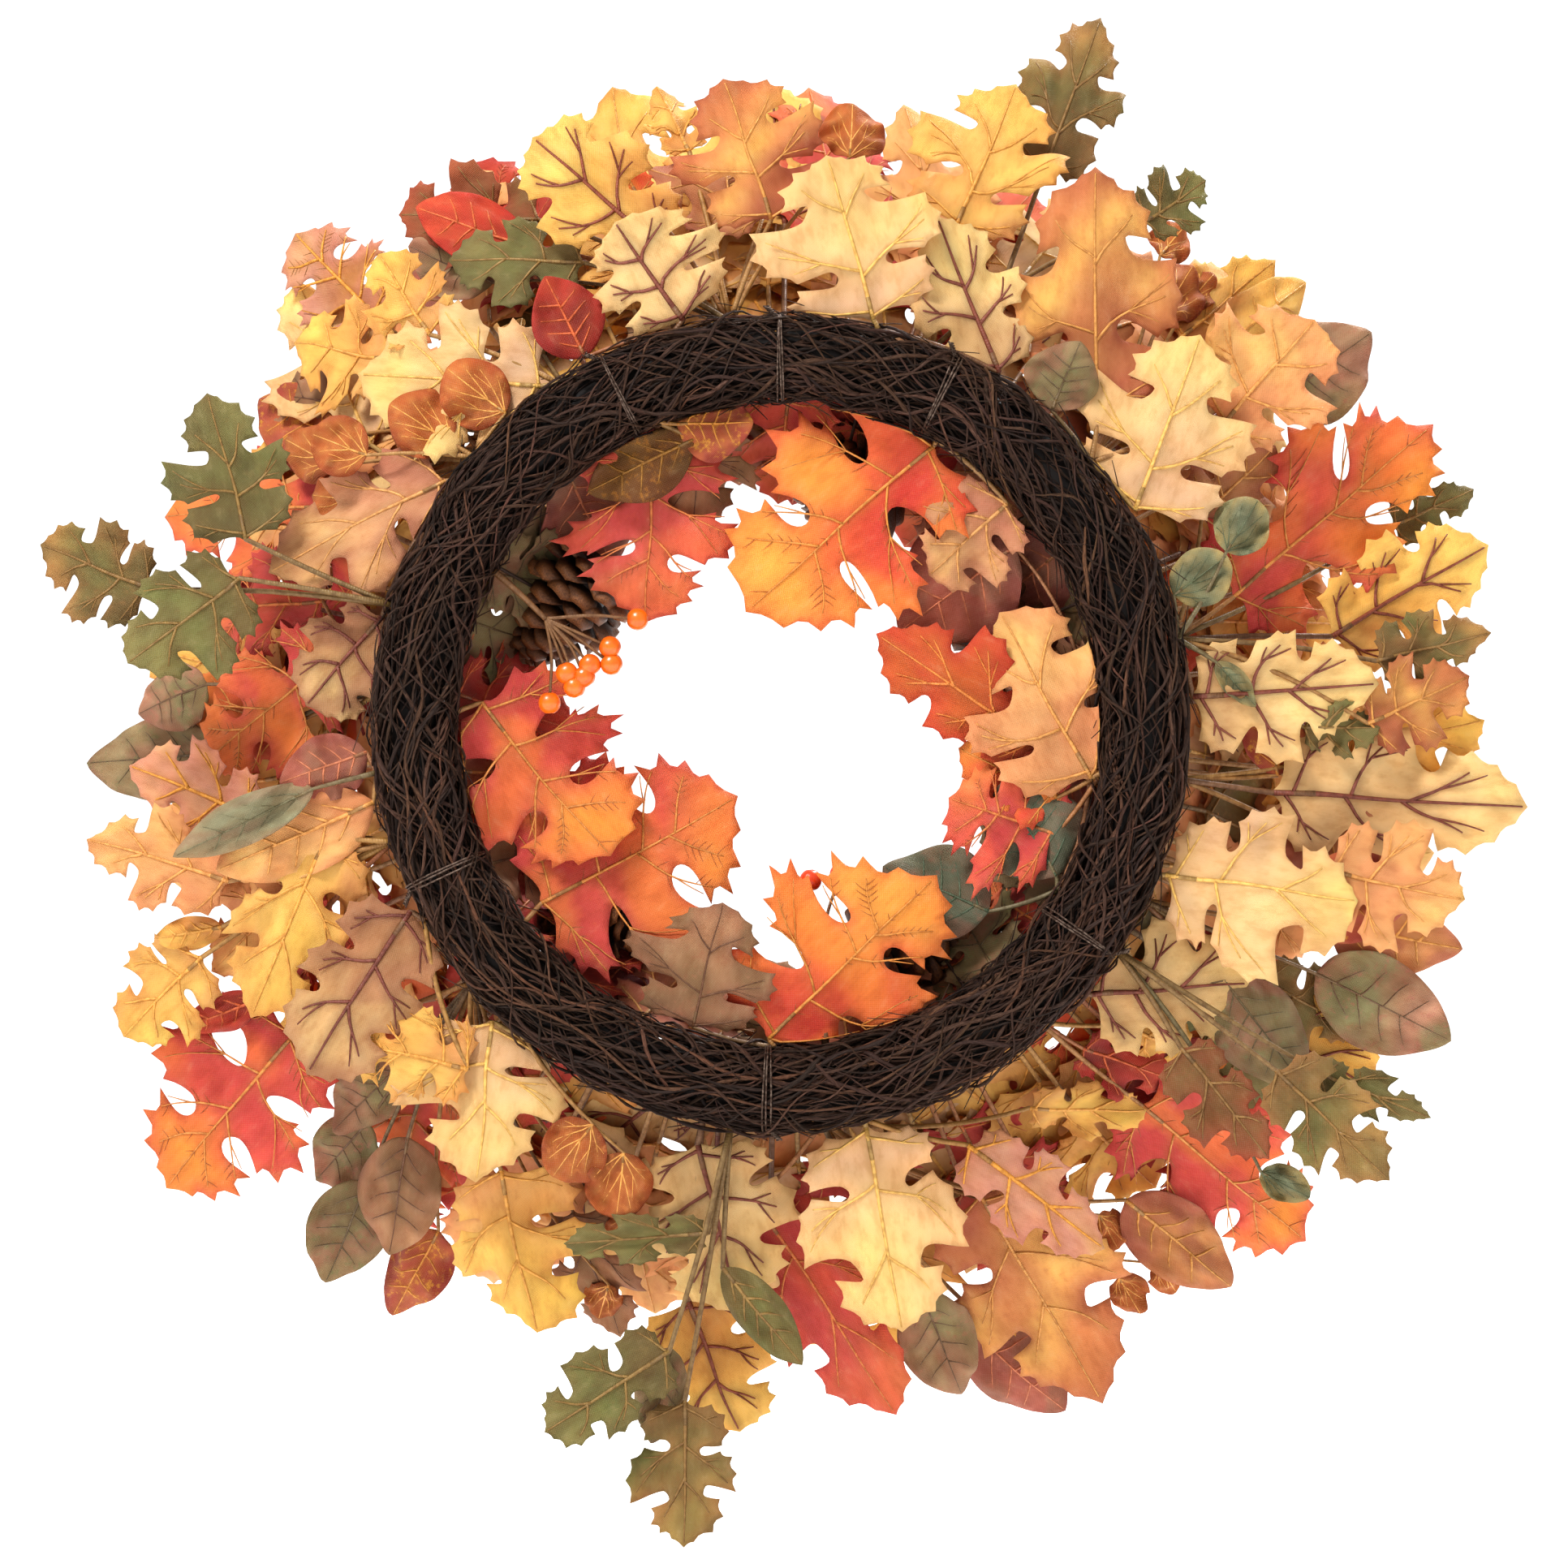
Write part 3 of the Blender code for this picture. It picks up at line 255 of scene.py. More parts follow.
# Each pick has the angle of its root and its leaves, by kind, (radius, angle) of the base and of the tip,
# width and finish, in mm and degrees. A sixth value sets a leaf's tilt in degrees from the leaf before it,
# and those leaves are mostly not in the CAD.
PICKS = {
    "green_oak_pick_left": (163, (
        ("oak", (222, 165), (258, 175), 50, "green"),
        ("oak", (256, 168), (303, 166.5), 44, "green_amber"),
        ("oak", (225, 161), (260, 150), 52, "green"))),
    "green_oak_pick_bottom": (263, (
        ("oak", (253, 260), (298, 251), 38, "green"),
        ("oak", (272, 262), (331, 263.5), 42, "green_amber"),
        ("oval", (218, 264), (257, 272), 20, "green"), ("oak", (205, 262), (227, 247), 22, "green", 1.5),
        ("oval", (253, 260), (293, 260), 22, "umber", 1.5))),
    "green_oak_pick_lower_right": (326, (
        ("oak", (240, 325), (302, 323), 40, "green_amber"),
        ("oak", (205, 321), (262, 318.5), 34, "green_red"),
        ("oak", (255, 327), (302, 328.6), 20, "green", 1.5),
        ("disc", (262, 317), (283, 318), 15, "teal", 1.0))),
    "sage_leaf_pick_left": (187, (
        ("oval", (187, 188), (247, 192.5), 20, "sage"), ("oval", (170, 184), (200, 187), 27, "mauve"),
        ("oval", (170, 191), (232, 195), 34, "peach"))),
    "eucalyptus_pick_right": (12, (
        ("disc", (171, 18), (190, 20.5), 24, "teal"), ("disc", (190, 21), (210, 25), 23, "teal"),
        ("oval", (175, 8), (190, 2), 11, "teal"), ("blunt", (170, 3.7), (238, 3.2), 55, "cream_plum"),
        ("oak", (235, 0), (277, 3.6), 40, "rust_rim"),
        ("oak", (209, 359.6), (240, 359.6), 24, "green", 0.8),
        ("oak", (240, 6), (286, 7.5), 32, "green_amber", 0.6))),
    "cream_oak_pick_right": (338, (
        ("oak", (170, 338.5), (242, 343), 67, "cream"), ("oak", (225, 345), (282, 345), 54, "peach"),
        ("oval", (218, 340), (262, 346.5), 38, "brick"))),
    "purple_vein_pick_right": (352, (
        ("blunt", (199, 352), (301, 354), 60, "cream_plum"),
        ("oval", (200, 349), (255, 348), 34, "russet"), ("oval", (200, 354), (196, 4), 28, "brick", 1.0),
        ("oak", (228, 357), (284, 0), 44, "gold", 0.8))),
    "oak_pick_upper_right": (40, (
        ("oval", (170, 49), (192, 52), 30, "umber"), ("oak", (170, 31), (228, 43), 74, "cream"),
        ("oak", (176, 44), (256, 61), 70, "rust_rim"), ("oak", (213, 34), (270, 37), 64, "peach"))),
    "cream_oak_pick_top": (76, (
        ("oak", (170, 77), (231, 85), 76, "cream"), ("blunt", (171, 58), (210, 73), 50, "cream_plum"))),
    "purple_vein_pick_top_left": (105, (
        ("blunt", (170, 103.5), (211, 108), 58, "cream_plum"),
        ("oval", (170, 118), (200, 118), 30, "crimson"),
        ("blunt", (196, 104.5), (258, 113), 55, "gold_plum"))),
    "cream_oak_pick_upper_left": (123, (
        ("oak", (170, 125.4), (220, 139.5), 69, "cream"), ("oak", (209, 132), (246, 131), 40, "gold"))),
    "pink_oak_pick_left": (143, (
        ("oak", (170, 144), (213, 163), 56, "pink"), ("blunt", (170, 165), (190, 178), 48, "tan_plum"))),
    "rust_leaf_cluster_upper_left": (139, (
        ("disc", (170, 131), (192, 133), 26, "rust"), ("disc", (174, 140), (198, 141), 28, "rust"),
        ("disc", (208, 150), (231, 150), 25, "rust"), ("disc", (190, 152), (212, 154), 24, "rust"),
        ("disc", (168, 131.5), (194, 133.5), 28, "rust", -31.0),
        ("disc", (172, 139.5), (200, 141), 29, "rust", 1.5),
        ("disc", (196, 147), (219, 148.5), 26, "rust", 1.5))),
    "purple_vein_pick_lower_left": (209, (
        ("blunt", (170, 207), (236, 216), 58, "tan_plum"),
        ("maple", (185, 228), (214, 216), 44, "gold"))),
    "cream_oak_pick_lower_left": (231, (
        ("oak", (170, 226), (218, 236), 69, "cream"), ("disc", (176, 245), (202, 243), 28, "rust"),
        ("disc", (182, 250), (208, 252), 28, "rust"))),
    "purple_vein_pick_bottom": (259, (
        ("blunt", (171, 259), (234, 266), 66, "cream_plum"),
        ("blunt", (235, 261), (290, 266.4), 55, "gold_plum"))),
    "cream_oak_pick_bottom": (282, (
        ("oak", (170, 282), (250, 281), 67, "cream"), ("oak", (184, 294), (246, 302), 38, "blush"))),
    "purple_vein_pick_lower_right": (318, (
        ("blunt", (170, 319), (213, 331.5), 58, "cream_plum"),
        ("oval", (205, 330), (255, 325), 36, "magnolia_pale"))),
    "cream_oak_pick_top_right": (68, (
        ("oak", (211, 70.5), (276, 70), 64, "gold"), ("oak", (250, 54), (280, 52), 30, "green"))),
    "green_oak_pick_top_right": (62, (
        ("oak", (247, 64.5), (319, 65.3), 44, "green_amber"),)),
    "red_maple_pick_right": (12, (
        ("blunt", (225, 9), (297, 14.5), 54, "gold_plum"), ("maple", (189, 15.6), (293, 25), 72, "flame"),
        ("oak", (188, 26), (229, 29), 42, "tan", 1.0),
        ("oak", (262, 18), (297, 18.5), 26, "green", 0.6))),
    "magnolia_pick_upper_right": (40, (
        ("oval", (240, 33), (290, 34), 45, "magnolia"), ("oval", (228, 40.5), (284, 40.3), 28, "gold"),
        ("disc", (228, 47), (252, 48), 26, "rust"), ("disc", (247, 51), (264, 51), 19, "rust", 0.8),
        ("disc", (239, 46), (256, 46), 18, "rust", 0.6), ("oak", (226, 44), (276, 43), 44, "gold", 0.8))),
    "oak_pick_top": (97, (
        ("oak", (200, 91), (258, 95), 62, "rust_rim"), ("oak", (200, 113), (231, 125.5), 39, "green"),
        ("disc", (229, 83), (252, 83), 28, "rust"), ("oval", (217, 118), (255, 125.3), 28, "scarlet"),
        ("oak", (225, 115.5), (258, 127.5), 45, "green_red"),
        ("oak", (234, 99), (263, 101), 24, "gold", 0.8),
        ("oak", (220, 105), (245, 107), 24, "orange", 0.8),
        ("oak", (203, 92), (230, 103), 34, "tan", 0.8),
        ("oval", (212, 123), (243, 128), 25, "magnolia", 0.8))),
    "yellow_maple_pick_upper_left": (133, (
        ("oak", (218, 137), (251, 142), 50, "gold"), ("maple", (236, 134.8), (281, 134.4), 50, "blush"),
        ("oval", (214, 147), (252, 148), 38, "brick"),
        ("oval", (221, 128.4), (257, 135.7), 30, "mauve", 0.8),
        ("oak", (214, 143), (250, 147), 42, "sepia", 0.8),
        ("oak", (200, 148), (244, 155), 46, "gold", 0.8),
        ("oak", (196, 156), (238, 161), 46, "peach", 0.6))),
    "yellow_oak_pick_left": (197, (
        ("oak", (186, 194), (242, 209.6), 52, "gold"), ("oak", (229, 196), (282, 189), 44, "peach"),
        ("oak", (250, 202), (292, 205), 45, "gold"), ("oval", (238, 200), (266, 199), 14, "gold", 0.6),
        ("oval", (234, 208), (272, 207), 16, "crimson", 0.6),
        ("oak", (214, 190), (262, 184), 44, "blush", 0.8),
        ("oak", (205, 199), (250, 203), 46, "peach", 0.6))),
    "red_maple_pick_left": (175, (
        ("maple", (184, 172.5), (235, 183.5), 60, "flame"),
        ("oval", (232, 176), (262, 179), 29, "magnolia_pink"),
        ("oval", (225, 183), (286, 183), 36, "umber"),
        ("maple", (190, 165), (240, 169), 50, "coral", 0.8),
        ("oak", (196, 180), (246, 177), 48, "orange", 0.8),
        ("oak", (200, 186), (252, 187), 44, "gold", 0.8))),
    "maple_pick_lower_left": (220, (
        ("maple", (231, 212.6), (311, 216.5), 76, "flame"), ("oak", (211, 238), (265, 248), 64, "gold"),
        ("oval", (224, 228), (266, 234), 36, "sepia"), ("oval", (250, 228), (292, 231), 34, "umber"),
        ("oval", (248, 236), (289, 237), 28, "brick"),
        ("oval", (206, 222), (244, 222), 28, "magnolia", 0.8),
        ("oval", (232, 224), (268, 224.5), 28, "magnolia_pink", 0.8),
        ("disc", (207, 253), (223, 253), 17, "rust", 0.5),
        ("disc", (238, 253), (254, 253), 17, "rust", 0.5),
        ("oak", (214, 247), (262, 256), 40, "sepia", 0.6))),
    "oak_pick_bottom": (276, (
        ("oak", (191, 267), (282, 279.5), 55, "coral"), ("oval", (237, 284), (284, 285), 32, "magnolia"),
        ("oak", (205, 293), (302, 295), 74, "rust_rim"), ("oval", (239, 306), (298, 309), 34, "russet"),
        ("oval", (258, 287), (305, 293), 38, "mauve", 1.0),
        ("oak", (250, 288), (285, 288.5), 28, "gold", 0.6),
        ("disc", (238, 303), (254, 303), 17, "rust", 0.6),
        ("disc", (266, 301.5), (282, 301.5), 17, "rust", 0.4),
        ("disc", (270, 305), (286, 305), 16, "rust", 0.4),
        ("oak", (184, 303), (214, 314), 26, "gold", 0.4))),
    "red_maple_pick_lower_right": (311, (
        ("maple", (213, 313.5), (307, 315.4), 70, "flame"),
        ("oak", (178, 313), (216, 318), 30, "crimson", 1.0),
        ("oak", (184, 319), (214, 321), 30, "gold", 0.8))),
    "magnolia_pick_lower_right": (334, (
        ("oval", (237, 335), (300, 335), 40, "magnolia_pink"),
        ("oval", (235, 340), (290, 342), 34, "russet"),
        ("blunt", (222, 328), (283, 328.5), 46, "gold_plum", 1.0),
        ("oak", (218, 332), (268, 332), 36, "green_amber", 0.8))),
    "maple_pick_inner_top_left": (112, (
        ("oval", (119, 109), (120, 95), 30, "brick"),
        ("oval", (118, 107), (124, 130), 28, "olive_gold", -2.5),
        ("maple", (118, 115), (68, 142), 74, "coral"),
        ("oak", (121, 104), (84, 115), 46, "sepia", -7.0))),
    "maple_pick_inner_left": (178, (
        ("maple", (119, 176), (91, 217), 82, "flame"),)),
    "maple_pick_inner_top": (61, (
        ("maple", (119, 61), (52, 104), 92, "orange"), ("oak", (119, 44), (82, 45), 48, "pink"))),
    "maple_pick_inner_lower_left": (218, (
        ("maple", (119, 217), (36, 243), 90, "flame"),)),
    "maple_pick_inner_bottom": (269, (
        ("maple", (119, 268), (84, 316), 92, "orange"), ("oak", (119, 254), (75, 253), 60, "sepia"))),
    "oak_pick_inner_right": (351, (
        ("oak", (119, 350), (95, 27), 74, "peach"), ("blunt", (106, 355), (52, 43), 48, "ember"),
        ("maple", (118, 338), (72, 337), 64, "coral"),
        ("oak", (114, 345), (72, 352), 40, "orange", 1.0))),
    "magnolia_pick_inner_right": (329, (
        ("oval", (119, 331), (93, 345), 42, "slate"), ("oval", (112, 318), (70, 306), 40, "slate"),
        ("oval", (117, 37), (61, 38), 50, "mauve"))),
}
# Display sprays: one of these per pick, by (reach, turn) of the base and of the tip
SPRAY = (
    ("maple", (34, -5), (106, -15), 72), ("oak", (36, 5), (108, 15), 64), ("blunt", (32, -2), (96, 2), 60),
    ("maple", (30, -4), (82, -10), 58), ("oak", (30, 5), (84, 11), 52))
DISPLAY = {
    "display_pick_right": (8, ("peach", "flame", "cream_plum", "orange", "gold")),
    "display_pick_upper_right": (50, ("cream", "green_amber", "gold_plum", "flame", "rust_rim")),
    "display_pick_top": (100, ("coral", "gold", "cream_plum", "orange", "peach")),
    "display_pick_left": (170, ("orange", "cream", "gold_plum", "coral", "green_amber")),
    "display_pick_lower_left": (232, ("gold", "coral", "cream_plum", "peach", "flame")),
    "display_pick_bottom": (292, ("flame", "cream", "gold_plum", "orange", "green")),
}
# The angle of the root, the (radius, angle) of the fork and of each berry, and the colour
BERRY_PICKS = {
    "orange_berry_pick": (
        152, (102, 156),
        ((70, 144), (74, 156), (79, 163), (83, 170), (92, 175), (71, 160.7), (80, 166.6), (87, 166.8)),
        (238, 112, 22)),
    "red_berry_pick": (
        278, (98, 280), ((72, 273), (64, 281), (65, 292)), (222, 72, 26)),
}
# Reach, angle, and turn out of the ring's own direction
PINECONES = {
    "pinecone_left": (60, 151, 20), "pinecone_lower_left": (58, 229, -25), "pinecone_bottom": (58, 305, 30),
    "pinecone_right": (60, 22, -15), "pinecone_top": (56, 76, 15)}

# Leaves packed behind the ones above, between the outer picks and the display sprays, and over the ring's
# display face: (how many, reach of the base, reach of the tip, width, tilt in degrees)
UNDER_ROWS = ((42, 19, 120, 58, 55), (42, 44, 140, 62, 49), (38, 74, 158, 58, 44))
FRONT_ROWS = ((24, 19, 74, 52, 72), (22, 19, 68, 50, 90), (22, 19, 66, 48, 107))
UNDER_SECTORS = (
    ("cream_plum", "gold", "orange", "peach"), ("peach", "gold", "tan", "cream_plum"),
    ("cream", "gold_plum", "peach", "coral"), ("gold", "cream", "crimson", "gold"),
    ("gold", "peach", "green", "cream"), ("flame", "gold", "crimson", "tan_plum"),
    ("gold", "peach", "coral", "gold"), ("gold", "flame", "sepia", "gold"),
    ("gold", "green", "cream_plum", "peach"), ("coral", "gold", "rust_rim", "cream"),
    ("gold", "green", "crimson", "orange"), ("gold", "green_amber", "peach", "cream"))
INNER_ROWS = ((24, 19, 80, 44, 123), (24, 19, 78, 48, 131), (18, 19, 70, 44, 139))
# Leaf colours for the filler round the opening, picked mostly dark as painted shade
INNER_SHADE_FINISHES = ("tan", "sepia", "coral", "mauve", "umber", "crimson")
KIND_OF = {
    "cream_plum": "blunt", "gold_plum": "blunt", "tan_plum": "blunt", "flame": "maple", "coral": "maple",
    "orange": "maple", "crimson": "maple", "mauve": "oval"}


# ---------------------------------------------------------------- ring coordinates


def outward(angle):
    """Directions out from the wreath's centre."""
    turn = np.radians(np.asarray(angle, float))
    return np.stack([-np.cos(turn), np.zeros_like(turn), np.sin(turn)], -1)


def ring_points(angle, reach, tilt, lift=0.0):
    """Points at these angles round the ring (degrees), reaches from its centre circle and tilts (radians)."""
    away = outward(angle)
    tilt = np.broadcast_to(np.asarray(tilt, float), away.shape[:-1])[..., None]
    reach = np.broadcast_to(np.asarray(reach, float), away.shape[:-1])[..., None]
    lift = np.broadcast_to(np.asarray(lift, float), away.shape[:-1])[..., None]
    direction = away * np.cos(tilt) + DISPLAY_SIDE * np.sin(tilt)
    normal = DISPLAY_SIDE * np.cos(tilt) - away * np.sin(tilt)
    return CENTRE + away * RING + direction * reach + normal * lift


class Cone:
    """The cone of one tilt, unrolled flat, so that a leaf drawn on it keeps its shape."""

    def __init__(self, tilt, near):
        self.tilt = tilt
        self.sign = 1 if math.cos(tilt) >= 0 else -1
        self.shrink = max(abs(math.cos(tilt)), 0.02)
        self.edge = RING / self.shrink
        self.near = near

    def flat(self, angle, reach):
        """The place on the flat for an angle round the ring and a reach."""
        slant = self.edge + self.sign * reach
        turn = math.radians(angle - self.near) * self.shrink
        return np.array([slant * math.cos(turn), slant * math.sin(turn)])

    def solid(self, places, lift):
        """Points in space for places on the flat, held off the twig ring."""
        turn = np.arctan2(places[:, 1], places[:, 0])
        reach = self.sign * (np.hypot(places[:, 0], places[:, 1]) - self.edge)
        angle = self.near + np.degrees(turn / self.shrink)
        return ring_points(angle, np.maximum(reach, LEAST_REACH), self.tilt, lift)


def unwrapped(angle, near):
    """The angle, give or take a whole turn, that lies nearest to another."""
    return near + (angle - near + 180) % 360 - 180


def node_places(name):
    """Angle, radius, reach and tilt of each vertex of a CAD node, in ring coordinates."""
    points = np.array([v.co for v in nodes[name].data.vertices], float) - CENTRE
    radius = np.hypot(points[:, 0], points[:, 2])
    angle = np.degrees(np.arctan2(points[:, 2], -points[:, 0])) % 360
    out, depth = radius - RING, -points[:, 1]
    return angle, radius, np.hypot(out, depth), np.arctan2(depth, out)


def cad_tilt(places, tip, by_reach):
    """The tilt of the CAD leaf whose tip is here."""
    angle, radius, reach, tilt = places
    distance = reach if by_reach else radius
    apart = np.hypot(distance - tip[0] * MM, np.radians((angle - tip[1] + 180) % 360 - 180) * radius)
    near = apart < apart.min() + 0.3 * MM
    return float(np.mean(tilt[near] % (2 * math.pi) if math.cos(tilt[near][0]) < 0 else tilt[near]))


# ---------------------------------------------------------------- mesh building


class Builder:
    """Gathers points, faces and their paint, then makes one mesh object."""

    def __init__(self):
        self.count = 0
        self.points, self.tints, self.leaves, self.flecks = [], [], [], []
        self.faces = []

    def add(self, points, faces, tint, leaf=None, fleck=None, material=0):
        """Takes points, groups of faces by their corners, and paint: leaf is a place in mm for patterns."""
        number = len(points)
        self.points.append(points)
        self.tints.append(np.broadcast_to(tint, (number, 3)))
        self.leaves.append(np.zeros((number, 3)) if leaf is None else leaf)
        self.flecks.append(np.broadcast_to((0, 0, 0, 0) if fleck is None else fleck, (number, 4)))
        for group in faces:
            self.faces.append((np.asarray(group, np.int64) + self.count, material))
        self.count += number

    def build(self, name, materials):
        mesh = bpy.data.meshes.new(name)
        points = np.concatenate(self.points).astype(np.float32)
        mesh.vertices.add(len(points))
        mesh.vertices.foreach_set("co", points.ravel())
        corners = np.concatenate([group.ravel() for group, _ in self.faces]).astype(np.int32)
        sizes = np.concatenate([np.full(len(group), group.shape[1]) for group, _ in self.faces])
        slots = np.concatenate([np.full(len(group), slot) for group, slot in self.faces])
        mesh.loops.add(len(corners))
        mesh.loops.foreach_set("vertex_index", corners)
        mesh.polygons.add(len(sizes))
        mesh.polygons.foreach_set("loop_start", np.concatenate([[0], np.cumsum(sizes)[:-1]]).astype(np.int32))
        mesh.polygons.foreach_set("material_index", slots.astype(np.int32))
        mesh.polygons.foreach_set("use_smooth", np.ones(len(sizes), bool))
        mesh.update(calc_edges=True)
        opaque = np.ones(len(points))
        for label, kind, key, values in (
                ("tint", "FLOAT_COLOR", "color", np.c_[np.concatenate(self.tints), opaque]),
                ("fleck", "FLOAT_COLOR", "color", np.concatenate(self.flecks)),
                ("leaf", "FLOAT_VECTOR", "vector", np.concatenate(self.leaves))):
            paint = mesh.attributes.new(label, kind, "POINT")
            paint.data.foreach_set(key, values.astype(np.float32).ravel())
        mesh.validate()
        made = bpy.data.objects.new(name, mesh)
        bpy.context.scene.collection.objects.link(made)
        for material in materials:
            mesh.materials.append(material)
        return made


def shell_faces(count, sides):
    """Faces of a closed tube of count rings of points, whose last two points are the middles of its ends."""
    row, column = np.meshgrid(np.arange(count - 1), np.arange(sides), indexing="ij")
    first = (row * sides + column).ravel()
    second = (row * sides + (column + 1) % sides).ravel()
    around = np.arange(sides)
    following = (around + 1) % sides
    last = (count - 1) * sides
    start = np.stack([np.full(sides, count * sides), following, around], 1)
    end = np.stack([np.full(sides, count * sides + 1), last + around, last + following], 1)
    return [np.stack([first, second, second + sides, first + sides], 1), start, end]


def tube(builder, points, radii, normals, sides, tint, material):
    """A tapered round wire through the points, closed at both ends. normals fix where its seam runs."""
    count = len(points)
    tangents = np.gradient(points, axis=0)
    tangents /= np.linalg.norm(tangents, axis=1)[:, None] + 1e-12
    side = np.cross(tangents, normals)
    side /= np.linalg.norm(side, axis=1)[:, None] + 1e-12
    up = np.cross(side, tangents)
    turns = np.linspace(0, 2 * math.pi, sides, endpoint=False)
    ring = side[:, None] * np.cos(turns)[None, :, None] + up[:, None] * np.sin(turns)[None, :, None]
    shell = points[:, None] + ring * np.asarray(radii)[:, None, None]
    verts = np.concatenate([shell.reshape(-1, 3), points[:1], points[-1:]])
    travel = np.concatenate([[0], np.cumsum(np.linalg.norm(np.diff(points, axis=0), axis=1))]) / MM
    leaf = np.zeros((len(verts), 3))
    leaf[:-2, 0] = np.repeat(travel, sides)
    leaf[:-2, 1] = np.tile(turns, count)
    builder.add(verts, shell_faces(count, sides), tint, leaf, None, material)


def rounded(path, steps):
    """A Catmull-Rom curve through the points."""
    path = np.asarray(path, float)
    if len(path) < 3:
        return path
    padded = np.concatenate([[2 * path[0] - path[1]], path, [2 * path[-1] - path[-2]]])
    made = []
    for index in range(1, len(padded) - 2):
        p0, p1, p2, p3 = padded[index - 1:index + 3]
        for step in range(steps):
            t = step / steps
            made.append(0.5 * (2 * p1 + (p2 - p0) * t + (2 * p0 - 5 * p1 + 4 * p2 - p3) * t**2
                               + (3 * p1 - p0 - 3 * p2 + p3) * t**3))
    made.append(padded[-2])
    return np.array(made)


def ripple(rng, x, y, low, high, waves=4):
    """Smooth random relief over a plane, mostly within -1 to 1."""
    total = np.zeros_like(x)
    for _ in range(waves):
        turn, pitch, start = rng.uniform(0, 2 * math.pi), rng.uniform(low, high), rng.uniform(0, 2 * math.pi)
        total += np.sin((x * math.cos(turn) + y * math.sin(turn)) * pitch + start)
    return total / waves**0.5


# ---------------------------------------------------------------- leaves


class Template:
    """One kind of leaf on the unit square: its outline, a triangle mesh inside it, and its veins."""

    def __init__(self, edge, veins):
        half = self.rounded_edge(edge)
        outline = [(x, y) for x, y in half] + [(x, -y) for x, y in reversed(half[:-1])]
        self.outline = np.array(outline)
        points = [Vector(p) for p in outline + self.lattice()]
        ring = [(i, (i + 1) % len(outline)) for i in range(len(outline))]
        verts, _, faces, origin, *_ = delaunay_2d_cdt(points, ring, [], 1, 1e-6)
        self.points = np.array([tuple(v) for v in verts])
        self.faces = np.array([f for f in faces if len(f) == 3])
        a, b, c = (self.points[self.faces[:, k]] for k in range(3))
        turn = (b[:, 0] - a[:, 0]) * (c[:, 1] - a[:, 1]) - (b[:, 1] - a[:, 1]) * (c[:, 0] - a[:, 0])
        self.faces[turn < 0] = self.faces[turn < 0][:, ::-1]
        self.rim = self.rim_edges()
        self.veins = self.vein_paths(veins)

    def rounded_edge(self, edge):
        """The half outline with its blunt corners cut, and points along its long runs."""
        soft = []
        for index, (x, y, sharp) in enumerate(edge):
            if sharp or index in (0, len(edge) - 1):
                soft.append((x, y))
                continue
            for other in (edge[index - 1], edge[index + 1]):
                soft.append((x + (other[0] - x) * 0.27, y + (other[1] - y) * 0.27))
        made = []
        for start, end in zip(soft, soft[1:]):
            steps = max(1, int(math.dist(start, end) / 0.035))
            for step in range(steps):
                share = step / steps
                made.append((start[0] + (end[0] - start[0]) * share, start[1] + (end[1] - start[1]) * share))
        made.append(soft[-1])
        return made

    def holds(self, points):
        """Which of the points lie inside the outline."""
        x, y = points[:, :1], points[:, 1:]
        start, end = self.outline, np.roll(self.outline, -1, axis=0)
        rise = end[:, 1] - start[:, 1]
        rise[rise == 0] = 1e-9
        hit = start[:, 0] + (y - start[:, 1]) / rise * (end[:, 0] - start[:, 0])
        return ((start[:, 1] > y) != (end[:, 1] > y)) & (x < hit)

    def lattice(self):
        """Points of a triangular lattice that lie inside the outline, clear of it."""
        rows = [(x, y) for row, y in enumerate(np.arange(-0.48, 0.49, 0.042))
                for x in np.arange(0.02 + 0.022 * (row % 2), 0.99, 0.044)]
        points = np.array(rows)
        clear = np.hypot(*(points[:, None] - self.outline).transpose(2, 0, 1)).min(1) > 0.018
        inside = self.holds(points).sum(1) % 2 == 1
        return points[clear & inside].tolist()

    def rim_edges(self):
        """The edges that only one face has."""
        edges = np.concatenate([self.faces[:, [0, 1]], self.faces[:, [1, 2]], self.faces[:, [2, 0]]])
        known = {(int(a), int(b)) for a, b in edges}
        return np.array([(a, b) for a, b in known if (b, a) not in known])

    def vein_paths(self, veins):
        """(path, share of the midrib's thickness at its start and end), the midrib first."""
        sides, forks = veins
        paths = [(np.array([(x, 0.0) for x in np.linspace(0, 0.97, 14)]), 1.0, 0.3)]
        for hand in (1, -1):
            made = []
            for start, (x, y) in sides:
                begin = np.array([max(start + (0.015 if hand > 0 else -0.015), 0.0), 0.0])
                end = np.array([x, y * hand])
                middle = begin + (end - begin) * (0.5, 0.58)
                t = np.linspace(0, 0.9, 9)[:, None]
                made.append((1 - t)**2 * begin + 2 * t * (1 - t) * middle + t**2 * end)
            for index, place, (x, y) in forks:
                main = made[index]
                begin = main[int(place * (len(main) - 1))]
                t = np.linspace(0, 0.93, 6)[:, None]
                paths.append((begin + (np.array([x, y * hand]) - begin) * t, 0.42, 0.22))
            paths += [(path, 0.68, 0.26) for path in made]
        return paths


TEMPLATES = {kind: Template(*design) for kind, design in KINDS.items()}


